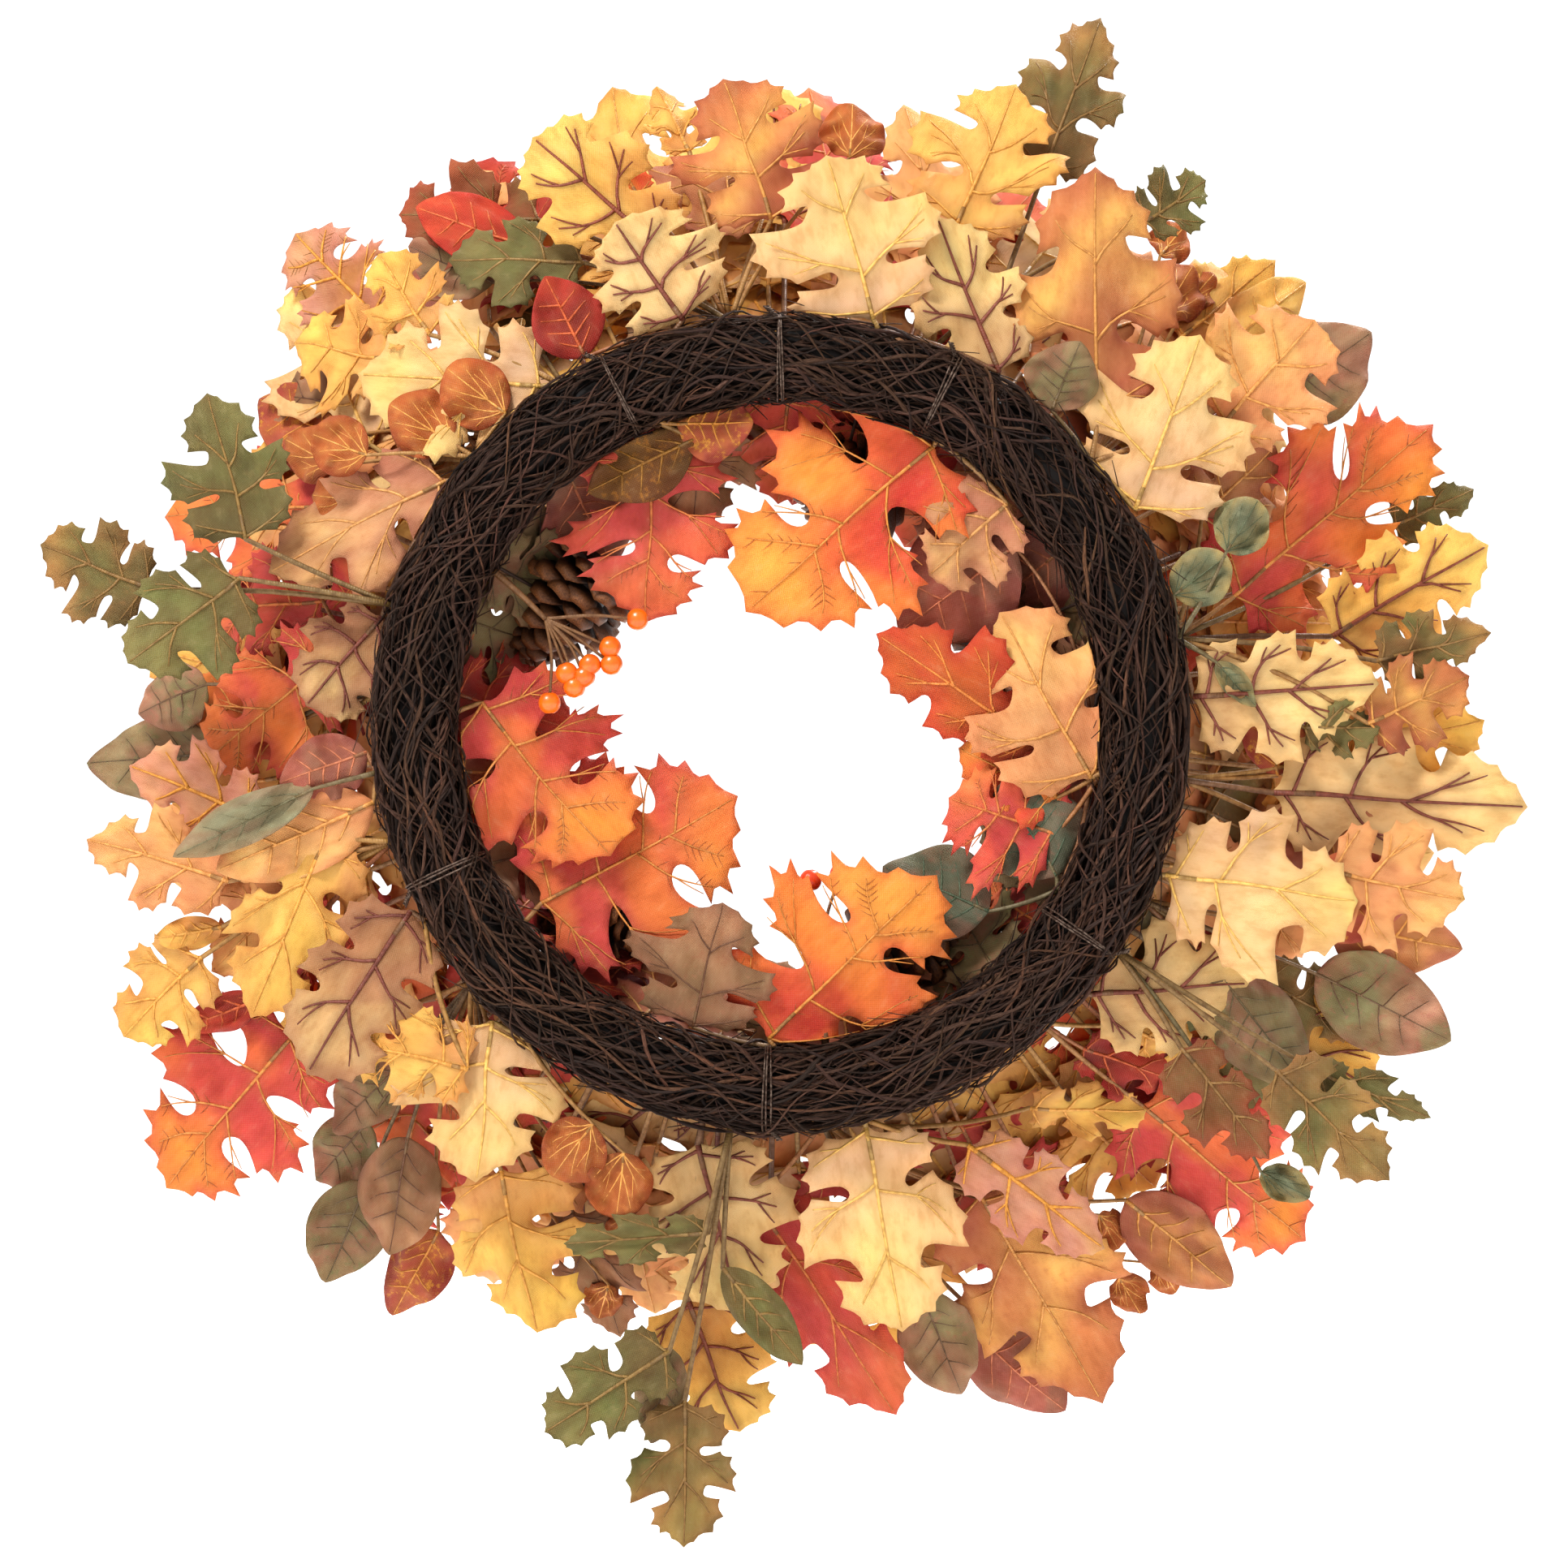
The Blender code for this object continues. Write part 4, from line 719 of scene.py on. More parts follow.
class Leaf:
    """One leaf laid on its cone, with its own bends, ripples and paint."""

    def __init__(self, kind, cone, base, tip, width, finish, rng):
        self.template = TEMPLATES[kind]
        self.cone, self.rng, self.finish = cone, rng, FINISHES[finish]
        self.base, self.width = base, width
        self.length = float(np.linalg.norm(tip - base))
        self.axis = (tip - base) / self.length
        self.across = np.array([-self.axis[1], self.axis[0]])
        self.side = -1 if math.cos(cone.tilt) > 0 else 1
        self.kind = kind
        cup = {"disc": 0.22, "oval": 0.10}.get(kind, 0.05)
        self.bend = rng.uniform(-0.10, 0.10)
        self.curl = rng.uniform(-0.06, 0.10)
        self.fold = rng.uniform(-0.02, cup)
        self.roll = rng.uniform(-0.06, 0.06)
        self.droop = rng.uniform(-0.03, 0.16) * (kind not in ("oval", "disc"))
        self.warp_seed, self.relief_seed = rng.integers(1 << 30, size=2)

    def warped(self, points):
        """Template points in metres along and across the leaf, with this leaf's own irregularities."""
        x, y = points[:, 0], points[:, 1]
        local = np.random.default_rng(self.warp_seed)
        amount = 0.014 if self.kind in ("oval", "disc") else 0.034
        held = np.minimum(1, x * 6)
        x2 = x + amount * ripple(local, x, y, 5, 11) * held
        y2 = y + amount * ripple(local, x, y, 5, 11) * held * np.minimum(1, np.abs(y) * 8 + 0.2)
        y2 = y2 * (1 + local.uniform(-0.1, 0.1) * np.sign(y)) + self.bend * x**2 * (1 - 0.5 * x)
        return x2 * self.length, y2 * self.width

    def relief(self, x, y, vein_gap):
        """Height off the cone, in metres, towards the door side when negative for outer leaves."""
        local = np.random.default_rng(self.relief_seed)
        u, v = x / self.length, y / self.width
        pillow = 2.3 * MM * (1 - np.exp(-((vein_gap / (6.5 * MM)) ** 2)))
        curl = self.curl * self.length * np.clip(u, 0, 1.2) ** 2
        fold = self.fold * np.abs(y) * 1.4 * np.clip(u * 4, 0, 1)
        roll = self.roll * y * 2 * np.clip(u * 2, 0, 1)
        droop = self.droop * np.abs(v) ** 2 * self.width * 2 * np.clip(u * 3, 0, 1)
        swell = 2.0 * MM * ripple(local, u, v, 5, 10) * np.clip(u * 3, 0, 1)
        flutter = 1.5 * MM * ripple(local, u, v, 12, 22) * np.clip(np.abs(v) * 3, 0, 1)
        return (pillow + fold - droop) * -self.side + curl * self.side + roll + swell + flutter

    def solid(self, x, y, lift):
        """Points in space for places in metres along and across the leaf."""
        places = self.base + self.axis * x[:, None] + self.across * y[:, None]
        return self.cone.solid(places, lift)

    def gap_to(self, x, y, paths):
        """Distance from each point to the nearest vein."""
        nearest = np.full(len(x), 1.0)
        for path in paths:
            fine = rounded(path, 4)
            px, py = self.warped(fine)
            nearest = np.minimum(nearest, np.hypot(x[:, None] - px, y[:, None] - py).min(1))
        return nearest

    def paint(self, x, y, vein_gap, rim_gap):
        """Colour of each point, from the finish."""
        base, middle, tip, rim, vein, _, blotch, blotch_share, fleck, fleck_share = self.finish
        base, middle, tip, rim, vein, blotch = (srgb(*c) for c in (base, middle, tip, rim, vein, blotch))
        local = np.random.default_rng(self.relief_seed + 1)
        u, v = np.clip(x / self.length, 0, 1), y / self.width
        drift = u + 0.2 * ripple(local, u, v, 4, 9) + local.uniform(-0.45, 0.45) * v
        low = np.clip((drift - 0.08) / 0.4, 0, 1)[:, None]
        high = np.clip((drift - 0.48) / 0.4, 0, 1)[:, None]
        colour = base * (1 - low) + middle * low
        colour = colour * (1 - high) + tip * high
        near_rim = np.exp(-rim_gap / (6 * MM)) * np.clip(0.75 + 0.6 * ripple(local, u, v, 6, 12), 0, 1)
        colour = colour + (rim - colour) * near_rim[:, None] * 0.8
        patch = np.clip(ripple(local, u, v, 8, 17) * 1.4, 0, 1) * blotch_share
        colour = colour + (blotch - colour) * patch[:, None]
        shade = np.exp(-((vein_gap / (1.9 * MM)) ** 2))[:, None] * (0.15 if self.finish[5] > 1.2 else 0.3)
        colour = colour + (vein * 0.9 - colour) * shade
        # Painted shade in the hollows beside the veins, and a little painted light on the swells between
        # them; the fine ripple is uneven dye
        hollow = np.exp(-((vein_gap / (3.4 * MM)) ** 2)) - 0.35 * np.exp(-((vein_gap / (9 * MM)) ** 2))
        dye_ripple_and_vein_shade = 1 + 0.05 * ripple(local, u, v, 20, 40) - 0.09 * hollow
        colour = colour * dye_ripple_and_vein_shade[:, None] * local.uniform(0.93, 1.07)
        return np.clip(colour, 0, 1), (*srgb(*fleck), fleck_share)

    def sheet(self, builder):
        """The cloth: two faces with a thin wall round the edge."""
        points = self.template.points
        x, y = self.warped(points)
        rim_x, rim_y = self.warped(self.template.outline)
        rim_gap = np.hypot(x[:, None] - rim_x, y[:, None] - rim_y).min(1)
        vein_gap = self.gap_to(x, y, [path for path, start, _ in self.template.veins if start > 0.5])
        lift = self.relief(x, y, vein_gap)
        thick = (SHEET_RIM + (SHEET - SHEET_RIM) * np.clip(rim_gap / (2.5 * MM), 0, 1)) / 2
        tint, fleck = self.paint(x, y, vein_gap, rim_gap)
        leaf = np.stack([x, y, vein_gap], 1) / MM
        count = len(points)
        upper, lower = self.solid(x, y, lift + thick), self.solid(x, y, lift - thick)
        faces, rim = self.template.faces, self.template.rim
        walls = np.stack([rim[:, 1], rim[:, 0], rim[:, 0] + count, rim[:, 1] + count], 1)
        builder.add(np.concatenate([upper, lower]), [faces, faces[:, ::-1] + count, walls],
                    np.concatenate([tint, tint]), np.concatenate([leaf, leaf]), fleck, 0)

    def ribs(self, builder, petiole):
        """The moulded midrib with its petiole, and the side veins."""
        radius = self.finish[5] * MM
        colour = srgb(*self.finish[4])
        for index, (path, start, end) in enumerate(self.template.veins):
            x, y = self.warped(path)
            gap = np.zeros(len(x))
            points = self.solid(x, y, self.relief(x, y, gap) + self.side * radius * 0.25)
            radii = radius * np.linspace(start, end, len(points))
            if index == 0:
                stalk = np.concatenate([petiole, points[1:3]])
                thickness = np.linspace(1.15 * MM, radius * 0.98, len(stalk))
                mixed = colour * 0.35 + STALK_COLOUR * 0.65
                tube(builder, stalk, thickness, self.normals(stalk), 6, mixed, 1)
            normals = self.normals(points)
            shade = colour * (0.9 + 0.15 * self.rng.random())
            tube(builder, points, radii, normals, 6 if start > 0.5 else 4, shade, 1)

    def veinlets(self, builder):
        """Fine printed veins that leave the side veins on both hands."""
        if self.kind != "maple":
            return
        shade = srgb(*self.finish[4]) * 0.42 + srgb(*self.finish[1]) * 0.2
        for path, start, _ in self.template.veins:
            if start < 0.5:
                continue
            for step in range(2, len(path) - 1, 1 if start < 1 else 2):
                heading = path[step + 1] - path[step]
                heading = heading / np.linalg.norm(heading)
                for hand in (1, -1):
                    if self.rng.random() < 0.25:
                        continue
                    sideways = np.array([-heading[1], heading[0]]) * hand
                    reach = self.rng.uniform(0.05, 0.095)
                    t = np.linspace(0, 1, 5)[:, None]
                    line = path[step] + (heading * 0.75 * t + sideways * (t - 0.25 * t**2)) * reach
                    if not (self.template.holds(line[1:] * (1, 1.06)).sum(1) % 2).all():
                        continue
                    x, y = self.warped(line)
                    gap = np.linspace(0, 1, 5) * reach * self.width
                    lift = self.relief(x, y, gap) + self.side * 0.22 * MM
                    points = self.solid(x, y, lift)
                    tube(builder, points, np.linspace(0.2, 0.1, 5) * MM, self.normals(points), 3, shade, 1)

    def normals(self, points):
        """Normals of the cone at points in space."""
        rel = points - CENTRE
        away = rel * (1, 0, 1)
        away /= np.linalg.norm(away, axis=1)[:, None] + 1e-9
        return DISPLAY_SIDE * math.cos(self.cone.tilt) - away * math.sin(self.cone.tilt)


def stalk_points(cone, root_angle, base_angle, base_reach, lift):
    """The petiole from the ring to the leaf's base."""
    steps = max(2, round(abs(base_angle - root_angle) / 5) + 1)
    shares = np.linspace(0, 1, steps + 1)
    flats = np.array([cone.flat(root_angle + (base_angle - root_angle) * s,
                                STEM_START + (base_reach - STEM_START) * s) for s in shares])
    flats = rounded(flats, 3)
    reach = cone.sign * (np.hypot(flats[:, 0], flats[:, 1]) - cone.edge)
    angle = cone.near + np.degrees(np.arctan2(flats[:, 1], flats[:, 0]) / cone.shrink)
    bow = np.linspace(0, 1, len(flats))
    return ring_points(angle, reach, cone.tilt, lift * bow)


def leaf_on_ring(builder, root_angle, tilt, kind, base, tip, width, finish, rng, by_reach, least=LEAF_START):
    """Lays one leaf by the same rules as the CAD's."""
    places = []
    for distance, angle in (base, tip):
        reach = distance * MM if by_reach else (distance * MM - RING) / math.cos(tilt)
        places.append((unwrapped(angle, root_angle), max(reach, least)))
    (base_angle, base_reach), (tip_angle, tip_reach) = places
    if base_reach < LEAF_START + 1 * MM:
        base_reach = NEAREST_BASE
    cone = Cone(tilt, base_angle)
    leaf = Leaf(kind, cone, cone.flat(base_angle, base_reach), cone.flat(tip_angle, tip_reach), width * MM,
                finish, rng)
    leaf.sheet(builder)
    start = np.array([0.0])
    base_lift = float(leaf.relief(start, start, start)[0])
    leaf.ribs(builder, stalk_points(cone, root_angle, base_angle, base_reach, base_lift))
    leaf.veinlets(builder)


def seed_of(name):
    """A number of its own for each name."""
    return sum((index + 1) * ord(letter) for index, letter in enumerate(name))


def finish_piece(made, name):
    """Puts a visual piece in place of its CAD node."""
    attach(made, nodes[name]["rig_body"])
    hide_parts(name)


def under_leaves(name, rows, finish_at, materials, seed):
    """Rows of leaves that close the gaps behind the picks."""
    rng = np.random.default_rng(seed)
    builder = Builder()
    for count, base, tip, width, tilt in rows:
        for index in range(count):
            angle = 360 * (index + rng.uniform(0.2, 0.8)) / count
            finish = finish_at(angle, rng)
            lean = rng.uniform(-9, 9)
            grown = rng.uniform(0.87, 1.1)
            start = (base + rng.uniform(0, 6), angle)
            end = (tip * grown, angle + lean)
            turned = math.radians(tilt + rng.uniform(-1.5, 1.5))
            kind = KIND_OF.get(finish, "oak")
            leaf_on_ring(builder, angle, turned, kind, start, end, width * grown, finish, rng, True,
                         LEAST_REACH)
    made = builder.build(name, materials)
    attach(made, "root")


def sector_finish(angle, rng):
    """A finish for this part of the ring, in twelfths of a turn."""
    return rng.choice(UNDER_SECTORS[int(angle % 360 // 30)])


def inner_finish(_, rng):
    """A finish for the leaves round the opening, the same all the way round, mostly dark as painted shade."""
    return rng.choice(INNER_SHADE_FINISHES)


def leaf_pick(name, root_angle, leaves, by_reach, materials):
    """One pick's leaves and their stalks, each at the tilt of its CAD leaf."""
    rng = np.random.default_rng(seed_of(name))
    builder = Builder()
    places = node_places(name)
    tilt = 0.0
    for kind, base, tip, width, finish, *between in leaves:
        if between:
            tilt += math.radians(between[0])
        else:
            tilt = cad_tilt(places, tip, by_reach)
        leaf_on_ring(builder, root_angle, tilt, kind, base, tip, width, finish, rng, by_reach)
    finish_piece(builder.build(name + "_leaves", materials), name)


# ---------------------------------------------------------------- twig ring


def flattened(tilt, reach, limit):
    """Reach held inside the flat back of the ring."""
    back = np.maximum(-np.sin(tilt), 1e-6)
    return np.minimum(reach, limit / back)


def ring_twig(builder, rng, layer):
    """One twig laid round part of the ring, on a slow spiral."""
    short = rng.random() < 0.68
    span = rng.uniform(7, 26) if short else rng.uniform(34, 110)
    count = int(span / 1.4) + 3
    share = np.linspace(0, 1, count)
    angle = rng.uniform(0, 360) + span * share
    turns = rng.uniform(1.0, 12.0) if short else rng.uniform(0.1, 5.0)
    tilt = rng.uniform(0, 2 * math.pi) + np.radians(span * share * turns) * rng.choice((-1, 1))
    tilt = tilt + 0.3 * ripple(rng, share * span / 14, share, 2, 6)
    radius = rng.choice((0.34, 0.42, 0.5, 0.62, 0.8)) * rng.uniform(0.85, 1.15) * MM
    reach = TUBE - layer - radius + 1.2 * MM * ripple(rng, share * span / 14, share, 2, 6)
    lifted = (np.exp(-share * span / 4) + np.exp(-(1 - share) * span / 4)) * rng.uniform(-0.5, 2.6) * MM
    bowed = np.sin(share * math.pi) * rng.uniform(0, 2.4) * MM * short
    hollow = layer * 0.9 + np.abs(ripple(rng, share * span / 14, share, 2, 6)) * 1.4 * MM
    reach = flattened(tilt, reach + lifted + bowed, BACK - 0.7 * MM - radius - hollow)
    points = ring_points(angle, reach, tilt)
    normals = ring_points(angle, reach + 1, tilt) - points
    taper = np.clip(np.minimum(share, 1 - share) * span / 9 + 0.4, 0, 1)
    knots = 1 + 0.18 * ripple(rng, share * span / 3, share, 2, 5) + 0.45 * (rng.random(count) < 0.05)
    # Random tone, with painted shade that darkens the twigs of the deeper layers
    tone_and_depth_shade = rng.uniform(0.4, 1.4) * (1.9 if rng.random() < 0.26 else 1) * (1 - 0.1 * layer / MM)
    tint = srgb(*TWIG_BROWN) * tone_and_depth_shade * (1, rng.uniform(0.9, 1.04), rng.uniform(0.8, 1.15))
    tube(builder, points, radius * taper * knots, normals, 5, tint, 0)


def stray_twig(builder, rng):
    """A short shoot that stands off the ring."""
    angle = rng.uniform(0, 360)
    tilt = rng.uniform(-0.9, math.pi + 0.9)
    length = rng.uniform(6, 24) * MM
    share = np.linspace(0, 1, 7)
    heading = rng.choice((-1, 1)) * rng.uniform(0.6, 1.4)
    angles = angle + np.degrees(length * share * heading / RING)
    rise = rng.uniform(0.06, 0.5) * length
    tilts = tilt + rng.uniform(-0.5, 0.5) * share
    reach = TUBE - 1.2 * MM + rise * share**1.3
    reach = flattened(tilts, reach, BACK - 0.6 * MM)
    points = ring_points(angles, reach, tilts)
    normals = ring_points(angles, reach + 1, tilts) - points
    tint = srgb(*STRAY_BROWN) * rng.uniform(0.5, 1.4)
    tube(builder, points, np.linspace(0.38, 0.17, 7) * MM, normals, 5, tint, 0)


def twig_core(builder):
    """Packed twigs under the ones that show, so that no gap lets light through, painted near black as the
    shade deep in the ring.
    """
    count, sides = 240, 18
    angle, turn = np.meshgrid(np.linspace(0, 360, count, endpoint=False),
                              np.linspace(0, 2 * math.pi, sides, endpoint=False), indexing="ij")
    reach = 10.6 * MM + 0.7 * MM * np.sin(turn * 9 + np.radians(angle) * 22)
    points = ring_points(angle.ravel(), flattened(turn, reach, BACK - 6 * MM).ravel(), turn.ravel())
    row, column = np.meshgrid(np.arange(count), np.arange(sides), indexing="ij")
    corner = (row * sides + column).ravel()
    beside = (row * sides + (column + 1) % sides).ravel()
    ahead = ((row + 1) % count * sides + column).ravel()
    across = ((row + 1) % count * sides + (column + 1) % sides).ravel()
    builder.add(points, [np.stack([corner, ahead, across, beside], 1)], srgb(*CORE_SHADE_BROWN))


def twig_ring(material):
    """Three bundles' worth of twigs, as three pieces, one for each CAD bundle."""
    for number in range(3):
        rng = np.random.default_rng(70 + number)
        builder = Builder()
        if number == 0:
            twig_core(builder)
        for _ in range(TWIG_COUNT // 3):
            ring_twig(builder, rng, rng.choice((0, 0, 0.8, 1.8, 3.0, 4.2)) * MM)
        for _ in range(STRAY_COUNT // 3):
            stray_twig(builder, rng)
        name = f"twig_bundle_{number + 1}"
        finish_piece(builder.build(f"twigs_{number + 1}", [material]), name)


def binding_wire(name, material, rng):
    """A few turns of wire drawn tight round the ring, ending in a twisted tail."""
    low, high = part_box(name)
    middle = np.array((low + high) / 2) - CENTRE
    angle = math.degrees(math.atan2(middle[2], -middle[0])) % 360 + WIRE_NUDGE.get(name, 0)
    builder = Builder()
    count = 150
    share = np.linspace(0, 1, count)
    tilt = share * 2 * math.pi * 3.3 + rng.uniform(0.6, 1.0)
    angles = angle + (share - 0.5) * 1.3 + 0.3 * np.sin(tilt + rng.uniform(0, 6)) * np.sin(share * 5)
    reach = flattened(tilt, TUBE + 0.35 * MM + 0.25 * MM * np.sin(tilt * 3.3), BACK - 0.45 * MM)
    points = ring_points(angles, reach, tilt)
    normals = ring_points(angles, reach + 1, tilt) - points
    tint = srgb(*WIRE_BROWN)
    tube(builder, points, np.full(count, 0.42 * MM), normals, 6, tint, 0)
    tail_tilt = -0.35
    start = share[:60] / share[59]
    for hand in (0, math.pi):
        coil = start * 2 * math.pi * 3 + hand
        points = ring_points(angle + 0.5 + 0.32 * np.cos(coil) + start * 1.4,
                             TUBE + 0.4 * MM + start * 4.5 * MM, tail_tilt + 0.05 * np.sin(coil))
        normals = np.tile(outward(angle), (len(points), 1)) + (0, 0.3, 0)
        tube(builder, points, np.full(len(points), 0.4 * MM), normals, 5, tint, 0)
    finish_piece(builder.build(name + "_turns", [material]), name)


# ---------------------------------------------------------------- berries and pinecones


def berry(builder, centre, stem_from, radius, colour, rng):
    """A lacquered berry with a dimple at its free end and a small collar where its stem goes in."""
    rings, sides = 18, 24
    axis = centre - stem_from
    axis = axis / np.linalg.norm(axis)
    helper = np.cross(axis, (0.3, 1.0, 0.2))
    helper /= np.linalg.norm(helper)
    other = np.cross(axis, helper)
    polar = np.linspace(0.02, math.pi - 0.02, rings)
    turns = np.linspace(0, 2 * math.pi, sides, endpoint=False)
    dent = 1 - 0.16 * np.exp(-((polar / 0.2) ** 2)) - 0.10 * np.exp(-(((math.pi - polar) / 0.3) ** 2))
    size = radius * dent[:, None] * (1 + 0.015 * np.sin(turns * 3 + rng.uniform(0, 6)))[None]
    across = np.sin(polar)[:, None] * size
    up = np.cos(polar)[:, None] * size
    points = (centre + axis * up[..., None] + helper * (across * np.cos(turns))[..., None]
              + other * (across * np.sin(turns))[..., None]).reshape(-1, 3)
    points = np.concatenate([points, [centre + axis * size[0].mean()], [centre - axis * size[-1].mean()]])
    faces = [np.roll(group[:, ::-1], 1, axis=1) for group in shell_faces(rings, sides)]
    # Painted shade darkens each berry towards its stem end; the dimple at the free end and both end caps are
    # painted darker too
    tint = np.repeat(np.linspace(0, 1, rings), sides)[:, None]
    main = srgb(*colour)
    dimple = np.exp(-((np.repeat(polar, sides) / 0.13) ** 2))
    shades = main * (1 - 0.35 * tint**3) * (1 - 0.75 * dimple)[:, None]
    shades = np.concatenate([shades, [main * 0.2], [main * 0.6]])
    builder.add(points, faces, shades)


def berry_pick(name, design, materials):
    """A forked stem with its berries."""
    root_angle, fork, berries, colour = design
    rng = np.random.default_rng(seed_of(name))
    places = node_places(name)
    far = places[1] < (fork[0] - 12) * MM
    tilt = float(np.median(places[3][far] % (2 * math.pi)))
    builder = Builder()

    def spot(place):
        return ring_points(place[1], (place[0] * MM - RING) / math.cos(tilt), tilt)

    root = ring_points(root_angle, STEM_START, tilt)
    joint = spot(fork)
    bark = srgb(*BERRY_STEM)
    up = np.array([0.0, 1.0, 0.2])

    def twig(start, end, thick, thin, bow):
        middle = (start + end) / 2 + np.array([rng.uniform(-1, 1), 0.5, rng.uniform(-1, 1)]) * bow
        path = rounded([start, middle, end], 8)
        tube(builder, path, np.linspace(thick, thin, len(path)), np.tile(up, (len(path), 1)), 6, bark, 1)

    twig(root, joint, 1.5 * MM, 1.1 * MM, 2.5 * MM)
    for place in berries:
        centre = spot(place)
        twig(joint, centre, 0.75 * MM, 0.55 * MM, 2 * MM)
        berry(builder, centre, joint, BERRY_RADIUS, np.array(colour) * rng.uniform(0.94, 1.03), rng)
    finish_piece(builder.build(name + "_spray", materials), name)


def cone_scale():
    """One pinecone scale: a curved spoon that thickens at its lip, as points (out, across, up) and faces."""
    along, wide = 7, 7
    u, v = np.meshgrid(np.linspace(0, 1, along), np.linspace(-1, 1, wide), indexing="ij")
    half = 0.18 + 0.36 * np.sin(np.clip(u, 0, 1) * 2.1) ** 1.2
    half = half * np.where(u > 0.86, 1 - ((u - 0.86) / 0.14) ** 2 * 0.42, 1)
    out = u - 0.06 * v**2 * u
    across = v * half
    up = 0.14 * u**2 + 0.10 * v**2 * u + 0.10 * np.clip((u - 0.8) / 0.2, 0, 1) ** 2
    thick = 0.025 + 0.10 * np.clip((u - 0.62) / 0.38, 0, 1) ** 1.5 * (1 - 0.55 * v**2)
    upper = np.stack([out, across, up + thick], -1).reshape(-1, 3)
    lower = np.stack([out, across * 0.96, up - thick], -1).reshape(-1, 3)
    row, column = np.meshgrid(np.arange(along - 1), np.arange(wide - 1), indexing="ij")
    corner = (row * wide + column).ravel()
    top = np.stack([corner, corner + wide, corner + wide + 1, corner + 1], 1)
    base = list(range(wide))
    right = [row * wide + wide - 1 for row in range(1, along)]
    tip = [(along - 1) * wide + column for column in range(wide - 2, -1, -1)]
    left = [row * wide for row in range(along - 2, 0, -1)]
    border = np.array(base + right + tip + left)
    following = np.roll(border, -1)
    count = along * wide
    walls = np.stack([border, following, following + count, border + count], 1)
    lip = np.concatenate([u.ravel(), u.ravel()])
    under = np.concatenate([np.zeros(count), np.ones(count)])
    return np.concatenate([upper, lower]), [top[:, ::-1], top + count, walls[:, ::-1]], lip, under


def pinecone(name, reach_mm, angle, turn, material, scale_mesh):
    """Scales in a golden-angle spiral round the cone's own axis."""
    rng = np.random.default_rng(seed_of(name))
    low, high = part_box(name)
    middle = np.array((low + high) / 2) - CENTRE
    tilt = math.atan2(-middle[1], math.hypot(middle[0], middle[2]) - RING) % (2 * math.pi)
    centre = ring_points(angle, reach_mm * MM, tilt)
    direction = ring_points(angle, 1.0, tilt) - ring_points(angle, 0.0, tilt)
    tangent = np.array([math.sin(math.radians(angle)), 0, math.cos(math.radians(angle))])
    spin = math.radians(turn)
    axis = tangent * math.cos(spin) + np.cross(direction, tangent) * math.sin(spin)
    side = np.cross(axis, direction)
    points, faces, lip, under = scale_mesh
    builder = Builder()
    dark, tan = srgb(*SCALE_DARK), srgb(*SCALE_TAN)
    core = rounded([centre - axis * CONE_LENGTH * 0.46, centre, centre + axis * CONE_LENGTH * 0.42], 8)
    core_radii = CONE_RADIUS * 0.45 * np.sin(np.linspace(0.5, 2.9, len(core)))
    tube(builder, core, core_radii, np.tile(direction, (len(core), 1)), 12, srgb(*CONE_CORE), 0)
    for index in range(SCALES_PER_CONE):
        share = (index + 0.5) / SCALES_PER_CONE
        swell = math.sin(math.pi * min(1.0, 0.12 + share**0.8 * 0.86)) ** 0.6
        size = CONE_RADIUS * (0.42 + 0.58 * swell) * (1 - 0.35 * share)
        lean = -0.35 + 1.05 * share + rng.uniform(-0.14, 0.14)
        turn_here = index * SCALE_TURN + rng.uniform(-0.08, 0.08)
        out = direction * math.cos(turn_here) + side * math.sin(turn_here)
        across = np.cross(axis, out)
        foot = centre + axis * (share - 0.5) * CONE_LENGTH * 0.86
        long = out * math.cos(lean) + axis * math.sin(lean)
        raised = axis * math.cos(lean) - out * math.sin(lean)
        grown = size * rng.uniform(0.93, 1.05)
        spoon = long * points[:, :1] + across * points[:, 1:2] * 0.6 + raised * points[:, 2:3] * 0.6
        placed = foot + spoon * grown
        # Dark wood at each scale's foot turning tan at its lip, with painted shade over it: the underside
        # darker by nearly half, and each scale darker towards its foot, deep in the cone
        shade = (dark * (1 - lip[:, None] ** 4) + tan * lip[:, None] ** 4) * (1 - 0.45 * under[:, None])
        shade = shade * (0.35 + 0.65 * lip[:, None]) * rng.uniform(0.8, 1.15)
        builder.add(placed, faces, shade, points * 20)
    wire = rounded([ring_points(angle, 14 * MM, tilt), centre - direction * 8 * MM, centre], 6)
    tube(builder, wire, np.full(len(wire), 0.7 * MM), np.tile(axis, (len(wire), 1)), 6, srgb(*CONE_WIRE), 0)
    finish_piece(builder.build(name + "_scales", [material]), name)


# ---------------------------------------------------------------- materials


